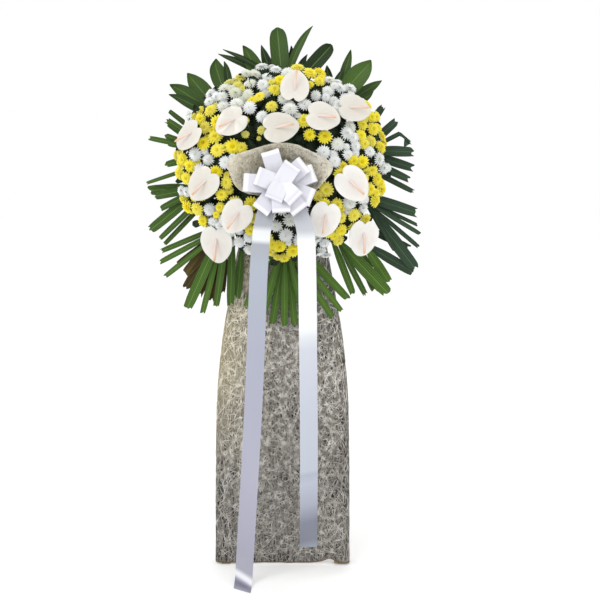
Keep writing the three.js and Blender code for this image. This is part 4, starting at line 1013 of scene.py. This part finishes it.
def collarPlace(u, v):
    angle = 2 * pi * u
    last = len(collarShape["rings"]) - 1
    spot = min(v * last, last - 1e-9)
    i, t = int(spot), spot - int(spot)
    way = Vector((cos(angle), 0, sin(angle)))

    def ring(n):
        halfX, halfUp, out = collarShape["rings"][max(0, min(n, last))]
        share = (last - n) / last
        wave = 1 + collarShape["wave"] * sin(5 * angle + 0.6) * (n / last) ** 3
        shiftX = (bow["x"] - collar["x"]) if n == 0 else 0
        return at(collar["x"] + shiftX + wave * halfX * cos(angle),
                  collar["up"] + (bow["up"] - collar["up"]) * share + wave * halfUp * sin(angle),
                  out + n * collarShape["tip"] * sin(angle))

    a, b = ring(i), ring(i + 1)
    before = a * 2 - b if i == 0 else ring(i - 1)
    after = b * 2 - a if i + 2 > last else ring(i + 2)
    curve = t * (2 * before - 5 * a + 4 * b - after + t * (3 * (a - b) + after - before))
    p = a + 0.5 * t * (b - before + curve)
    crinkle = noise.noise(Vector((cos(angle) * 6, sin(angle) * 6, v * 5)))
    ragged = noise.noise(Vector((cos(angle) * 9, sin(angle) * 9, 3)))
    return (p + at(0, 0, crinkle * collarShape["crinkle"] * v)
            + way * ragged * collarShape["ragged"] * v ** 3)


def meshArea(bm):
    return sum(face.calc_area() for face in bm.faces)


def strandPiece(name, fibres, spotOn):
    # Loose fibres lying on a sheet: spotOn gives a place a little off the sheet for two shares
    draws = random.Random(fibres["seed"])
    curve = bpy.data.curves.new(name, "CURVE")
    curve.dimensions = "3D"
    curve.bevel_depth = fibres["radius"] * mm
    curve.bevel_resolution = 0
    curve.resolution_u = 1
    curve.use_fill_caps = True
    wander = fibres["wander"]
    steps = 6
    for n in range(fibres["count"]):
        u, v = draws.random(), draws.random()
        way = draws.choice((-1, 1)) * pi / 2 + draws.gauss(0, fibres["turn"])
        bend = draws.gauss(0, wander)
        stretch = draws.uniform(*fibres["length"]) / steps
        lift = draws.uniform(0.2, 1.0)
        points = []
        for k in range(steps + 1):
            points.append(spotOn(u, v, lift))
            way += bend + draws.gauss(0, wander)
            u += stretch * cos(way) * fibres["step"][0]
            v += stretch * sin(way) * fibres["step"][1]
            if not (0.004 < u < 0.996 and 0.006 < v < 0.994):
                break
        if len(points) < 3:
            continue
        spline = curve.splines.new("NURBS")
        spline.points.add(len(points) - 1)
        thick = draws.uniform(0.5, 1.6)
        for point, co in zip(spline.points, points):
            point.co = (*co, 1)
            point.radius = thick * draws.uniform(0.75, 1.2)
        spline.order_u = 3
        spline.use_endpoint_u = True
    holder = addObject(name, curve)
    mesh = bpy.data.meshes.new_from_object(holder.evaluated_get(bpy.context.evaluated_depsgraph_get()))
    bpy.data.objects.remove(holder)
    mesh.name = name
    mesh.materials.clear()
    mesh.materials.append(fibreStrand)
    mesh.shade_smooth()
    print(name, len(mesh.polygons), "faces")
    return settle(addObject(name, mesh), "fibre_sheet")


def buildCollar():
    fibres = collarShape["fibres"]
    bm = newShape()
    addGrid(bm, collarShape["aroundSteps"], collarShape["outSteps"], collarPlace)
    weld(bm)
    move(bm, leanMatrix)
    area = meshArea(bm)
    bmesh.ops.recalc_face_normals(bm, faces=bm.faces)
    bmesh.ops.solidify(bm, geom=bm.faces, thickness=collarShape["thickness"] * mm)
    piece = makePiece("collar_sheet", bm, [fibreKhaki])
    settle(piece, "fibre_sheet", "collar")

    def spotOn(u, v, lift):
        v = fibres["inner"] + (1 - fibres["inner"]) * v
        p = collarPlace(u, v)
        outward = collarPlace(u, v + 0.01) - p if v < 0.98 else p - collarPlace(u, v - 0.01)
        normal = (collarPlace(u + 0.01, v) - p).cross(outward).normalized()
        if not normal.length:
            normal = at(0, 0, 1)
        if normal.y > 0:
            normal = -normal
        return leanMatrix @ (p + normal * (lift + fibres["lift"]))

    strands = strandPiece("collar_fibres", fibres, spotOn)


# Bow loops: direction in degrees, length, opening, how far the loop tips to the viewer, layer
bowLoops = [
    (107, 105, 26, 2, -12), (40, 95, 26, 6, -6), (20, 107, 26, 3, -13), (176, 107, 26, 3, -9),
    (232, 95, 26, 4, -12), (338, 102, 26, 3, -11), (55, 70, 28, 16, 7), (160, 74, 28, 12, 5),
    (316, 68, 28, 18, 8), (247, 50, 30, 16, 12), (308, 96, 26, 5, -8), (273, 82, 26, 10, -3),
]
loopRound = [(-0.12, -0.3), (0.35, -0.75), (0.7, -0.95), (0.93, -0.9), (1, -0.1), (0.96, 0.75), (0.7, 1),
             (0.3, 0.85), (-0.12, 0.5)]


def addLoop(bm, spec, number):
    degrees, length, opening, tipDegrees, layer = spec
    turn, tilt = math.radians(degrees), math.radians(tipDegrees)
    flat = at(cos(turn), sin(turn), 0)
    side = at(-sin(turn), cos(turn), 0)
    front = at(0, 0, 1)
    reach = turned(flat, front, tilt)
    rise = turned(front, -flat, tilt)
    centre = at(bow["x"], bow["up"], bow["out"] + layer)
    columns, steps = bow["loopSteps"]
    path = evenPath([centre + reach * along * length + rise * high * opening / 2
                     for along, high in loopRound], steps)

    def place(u, v):
        s = 2 * u - 1
        row = round(v * steps)
        nearEnd = min(v, 1 - v) * 2
        half = bow["ribbonWidth"] / 2 * between(bow["halves"], nearEnd)
        out = heading(path, row).cross(side).normalized()
        crimp = (1 - nearEnd) ** 2 * bow["crimp"] * sin(s * 7 + number)
        sag = bow["sag"] * (1 - s * s) * sin(pi * nearEnd * 0.9)
        return path[row] + side * s * half + out * (crimp + sag)

    addSheet(bm, columns, steps, place, bow["thickness"])
    return sum(stepLengths(path))


def buildBow():
    bm = newShape()
    total = sum(addLoop(bm, spec, number) for number, spec in enumerate(bowLoops))

    def knotPlace(u, v):
        angle = 2 * pi * u
        swell = 1 + 0.16 * sin(pi * v) + 0.05 * sin(angle * 7 + v * 4)
        radius = bow["knotRadius"] * swell
        return at(bow["x"] + radius * cos(angle), bow["up"] + radius * sin(angle),
                  bow["out"] - bow["knotBack"] + (v - 0.5) * bow["knotDepth"])

    addSheet(bm, *bow["knotSteps"], knotPlace, bow["thickness"])
    weld(bm)
    move(bm, leanMatrix)
    area = meshArea(bm) / 2
    piece = makePiece("bow_loops", bm, [satinBowFoldHighlights], 60)
    settle(piece, "satin", "bow")


# Tails: x, y and height above the floor in millimetres, from the knot down
floorShift = Vector((apex.x, apex.y - stand["apexBack"] * mm, 0))
tails = {
    "ribbon_tail_left": (satinLeftTailShaded, [
        (-12, -134.6, 1158.7), (-24, -133, 1138), (-38, -134, 1117), (-46, -140, 1088),
        (-54, -152, 1050), (-59, -164, 1000), (-64, -168, 930), (-81, -168, 540), (-102, -168, 180),
        (-109, -171, 66), (-112, -186, 14), (-113, -208, 2.2), (-114, -238, 1.2)]),
    "ribbon_tail_right": (satinRightTailLit, [
        (6, -135.9, 1158.7), (20, -133, 1138), (38, -134, 1117), (54, -140, 1088), (68, -152, 1050),
        (73, -164, 1000), (75, -168, 930), (78, -168, 700), (80.5, -168, 420), (79.5, -168, 108)]),
}
tailShape = {"rows": 90, "columns": 8, "thickness": 0.5, "gatherLength": 85, "crimp": 1.8, "crimpLength": 120,
             "slow": 5, "cup": 1.4, "levelLength": 150, "cut": 20, "cutLength": 60}


def buildTail(name, finish, spots, seed):
    bm = newShape()
    rows = tailShape["rows"]
    path = evenPath(spots, rows)
    length = sum(stepLengths(path))
    onFloor = "left" in name
    side = Vector((1, 0, 0))

    def place(u, v):
        s = 2 * u - 1
        row = round(v * rows)
        away = v * length
        half = bow["ribbonWidth"] / 2 * between([(0, bow["gather"]), (1, 1), (9999, 1)],
                                                away / tailShape["gatherLength"])
        way = heading(path, row).normalized()
        out = side.cross(way).normalized()
        crimp = max(0, 1 - away / tailShape["crimpLength"]) * tailShape["crimp"] * sin(s * 6 + seed)
        slow = noise.noise(Vector((seed, away / 160, s * 0.4))) * tailShape["slow"]
        slow *= min(away / 200, 1) * min((length - away) / 90, 1)
        cup = tailShape["cup"] * (1 - s * s) * sin(away / 210 + seed)
        cut = 0
        if onFloor:
            cut = tailShape["cut"] * s * max(0, (away - length) / tailShape["cutLength"] + 1)
            if away > length - tailShape["levelLength"]:
                cup *= max(0, (length - away) / tailShape["levelLength"])
                slow = 0
        return path[row] + side * s * half + out * (crimp + slow + cup) + way * cut

    addSheet(bm, tailShape["columns"], rows, place, tailShape["thickness"])
    bmesh.ops.scale(bm, vec=(mm, mm, mm), verts=bm.verts)
    bmesh.ops.translate(bm, vec=floorShift, verts=bm.verts)
    area = meshArea(bm) / 2
    piece = makePiece(name + "_sheet", bm, [finish], 60)
    settle(piece, "satin", name)


# Skirt: half width against height along the lean from the floor
skirtShape = {
    "profile": [(-4, 208), (500, 205), (700, 188), (830, 167), (995, 138)], "middle": -62.6, "fold": 44,
    "corner": 7, "cornerBack": 8, "return": 4, "billow": 5, "hemClear": 2.5, "thickness": 0.8,
    "columns": 110, "rows": 96, "top": 995, "hemCurl": (146, 20, 13), "outCurl": (196, 30, 7),
    "folds": 3.2, "waves": 1.2, "flat": (0.52, 1.0),
    "fibres": {"count": 2400, "seed": 33, "step": (1 / 500, 1 / 990), "length": (60, 210),
               "radius": 0.75, "wander": 0.26, "turn": 0.6, "lift": 0.5},
}
skirtRows = {}


def skirtRow(rise):
    key = round(rise, 3)
    if key not in skirtRows:
        half, middle = between(skirtShape["profile"], rise), skirtShape["middle"]
        edge, back = half - skirtShape["corner"], middle - skirtShape["cornerBack"]
        wrap, end = half - skirtShape["return"], middle - skirtShape["fold"]
        billow = skirtShape["billow"] * sin(pi * max(0, min(rise / skirtShape["top"], 1))) ** 0.5
        spots = [(-wrap, end), (-half, back), (-edge, middle), (-half * 0.35, middle + billow),
                 (half * 0.3, middle + billow * 0.4), (edge, middle), (half, back), (wrap, end)]
        skirtRows[key] = evenPath([(x, out, 0) for x, out in spots], skirtShape["columns"])
    return skirtRows[key]


def skirtPlace(u, v):
    rise = skirtShape["hemClear"] + (skirtShape["top"] - skirtShape["hemClear"]) * v
    line = skirtRow(rise)
    spot = u * skirtShape["columns"]
    k = min(int(spot), skirtShape["columns"] - 1)
    p = line[k].lerp(line[k + 1], spot - k)
    flat = max(0, 1 - abs(2 * u - 1) ** 6)
    folds = (1.2 + noise.noise(Vector((p.x / 70, rise / 420, 1)))) * skirtShape["folds"] * flat
    folds += (1 + sin(p.x / 26 + 1.3 * sin(rise / 210))) * skirtShape["waves"] * flat
    (curlX, curlWidth, curlRise), (bulgeX, bulgeWidth, bulge) = skirtShape["hemCurl"], skirtShape["outCurl"]
    hem = (1 + noise.noise(Vector((p.x / 45, 0, 7)))) * 2.5 + curlRise * hump(p.x, curlX, curlWidth)
    low = max(0, 1 - v * 14)
    # The hem is level with the floor, and the top square to the lean
    out = p.y + folds + bulge * hump(p.x, bulgeX, bulgeWidth) * low
    level = -out * math.tan(math.radians(stand["lean"])) * (1 - v)
    return at(p.x, stand["floorUp"] + rise + level + hem * low, out)


def buildSkirt():
    fibres = skirtShape["fibres"]
    bm = newShape()
    addGrid(bm, skirtShape["columns"], skirtShape["rows"], skirtPlace)
    move(bm, leanMatrix)
    area = meshArea(bm)
    bmesh.ops.solidify(bm, geom=bm.faces, thickness=skirtShape["thickness"] * mm)
    piece = makePiece("skirt_sheet", bm, [fibreGrey])
    settle(piece, "fibre_sheet", "skirt")

    def spotOn(u, v, lift):
        return leanMatrix @ (skirtPlace(u, v) + at(0, 0, lift + fibres["lift"]))

    strands = strandPiece("skirt_fibres", fibres, spotOn)
    wide, high = skirtShape["flat"]


buildCollar()
buildBow()
for number, (name, (finish, spots)) in enumerate(tails.items()):
    buildTail(name, finish, spots, 3 + 5 * number)
buildSkirt()
print("collar, bow, tails and skirt made")


# Finishes of the easel, foam and fasteners
def woodFinish(name, axis, dark, light, rings=1.0):
    # Grain runs along the batten
    f = Finish(name, light, 0.72, 0.25)
    turn = Vector(axis).to_track_quat("Z", "Y").inverted().to_euler()
    along = f.stretch(f.stretch(f.spot, (1, 1, 1), turn), (1, 1, 0.05))
    grain = f.noise(190 * rings, 5, along, 0.62, 0.25)
    bright = tuple(min(c * 1.25, 1) for c in light)
    colour = f.ramp(grain, [(0.3, *dark), (0.55, *light), (0.75, *bright)])
    colour = f.mix(f.times(f.noise(42, 2, along), 0.45), colour, dark)
    knots = f.fade(f.cells(14, along), 0.03, 0.09, 0.7, 0)
    return f.done(f.mix(knots, colour, tuple(c * 0.45 for c in dark)), grain, 0.35, 0.0008)


def plainFinish(name, colour, dark, roughness, scale, strength, metallic=0, glow=0):
    f = Finish(name, colour, roughness)
    f.put(f.shader, {"Metallic": metallic, "Emission Color": (1, 1, 1), "Emission Strength": glow})
    grain = f.noise(scale, 4, roughness=0.65)
    return f.done(f.ramp(grain, [(0.3, *dark), (0.65, *colour)]), grain, strength, 0.001)


def dress(name, finish):
    nodes[name].material_slots[0].material = finish


batten = {"dark": (0.26, 0.17, 0.09), "light": (0.52, 0.39, 0.24)}
battenWays = {"leg_front_left": (145, -172, 1417), "leg_front_right": (-145, -172, 1417),
              "leg_rear": (0, -430, 1330), "rail_lower": (1, 0, 0), "rear_strut": (0, 1, 0)}
for name, axis in battenWays.items():
    dress(name, woodFinish(name + "_wood", axis, **batten))
dress("head_board", woodFinish("plywoodFace", (1, 0, 0.02), (0.38, 0.26, 0.14), (0.62, 0.48, 0.30), 0.6))
dress("bow_pick", woodFinish("pickWood", (0, -1, 0.1), (0.40, 0.28, 0.15), (0.66, 0.52, 0.33)))
zinc = plainFinish("zincSteel", (0.62, 0.62, 0.63), (0.45, 0.45, 0.46), 0.35, 260, 0.15, 1)
for name in ("apex_bolt", "board_screw_left", "board_screw_right", "rail_nail_left", "rail_nail_right",
             "strut_nail_front", "strut_nail_rear"):
    dress(name, zinc)
dress("foam_block", plainFinish("wetFoam", (0.10, 0.20, 0.09), (0.03, 0.075, 0.03), 0.9, 420, 0.9))
dress("foam_tray", plainFinish("trayPlastic", (0.045, 0.085, 0.06), (0.035, 0.07, 0.05), 0.42, 160, 0.1))
print("easel dressed")

# Floor, lights (place, size and power) and background
floorMesh = bmesh.new()
bmesh.ops.create_grid(floorMesh, x_segments=1, y_segments=1, size=30)
paleFloor = plainFinish("paleFloor", (0.97, 0.97, 0.97), (0.96, 0.96, 0.96), 1, 3, 0.01, glow=0.06)
floorObject = makePiece("floor", floorMesh, [paleFloor])

lights = {
    "key": ((-2.2, -2.8, 3.8), 1.8, 46), "fill": ((2.8, -3.0, 1.9), 3.2, 8),
    "top": ((0.4, 1.6, 3.8), 3.0, 22),
}
for name, (spot, size, power) in lights.items():
    lamp = bpy.data.lights.new(name, "AREA")
    lamp.size = size
    lamp.energy = power
    holder = addObject(name, lamp)
    holder.location = spot
    holder.rotation_euler = (Vector((0, 0, 1.0)) - Vector(spot)).to_track_quat("-Z", "Y").to_euler()

world = bpy.data.worlds.new("studio")
world.use_nodes = True
background = world.node_tree.nodes["Background"].inputs
background["Color"].default_value = (1, 1, 1, 1)
background["Strength"].default_value = 1.0
scene.world = world
scene.view_settings.view_transform = "Standard"

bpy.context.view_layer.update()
added = {o.name: sum(len(f.vertices) - 2 for f in o.data.polygons) for o in scene.objects if o.type == "MESH"
         and o.name not in nodes and o.name != "floor"}
print("triangles added", sum(added.values()), "most in one piece", max(added.values()))
print("scene ready")
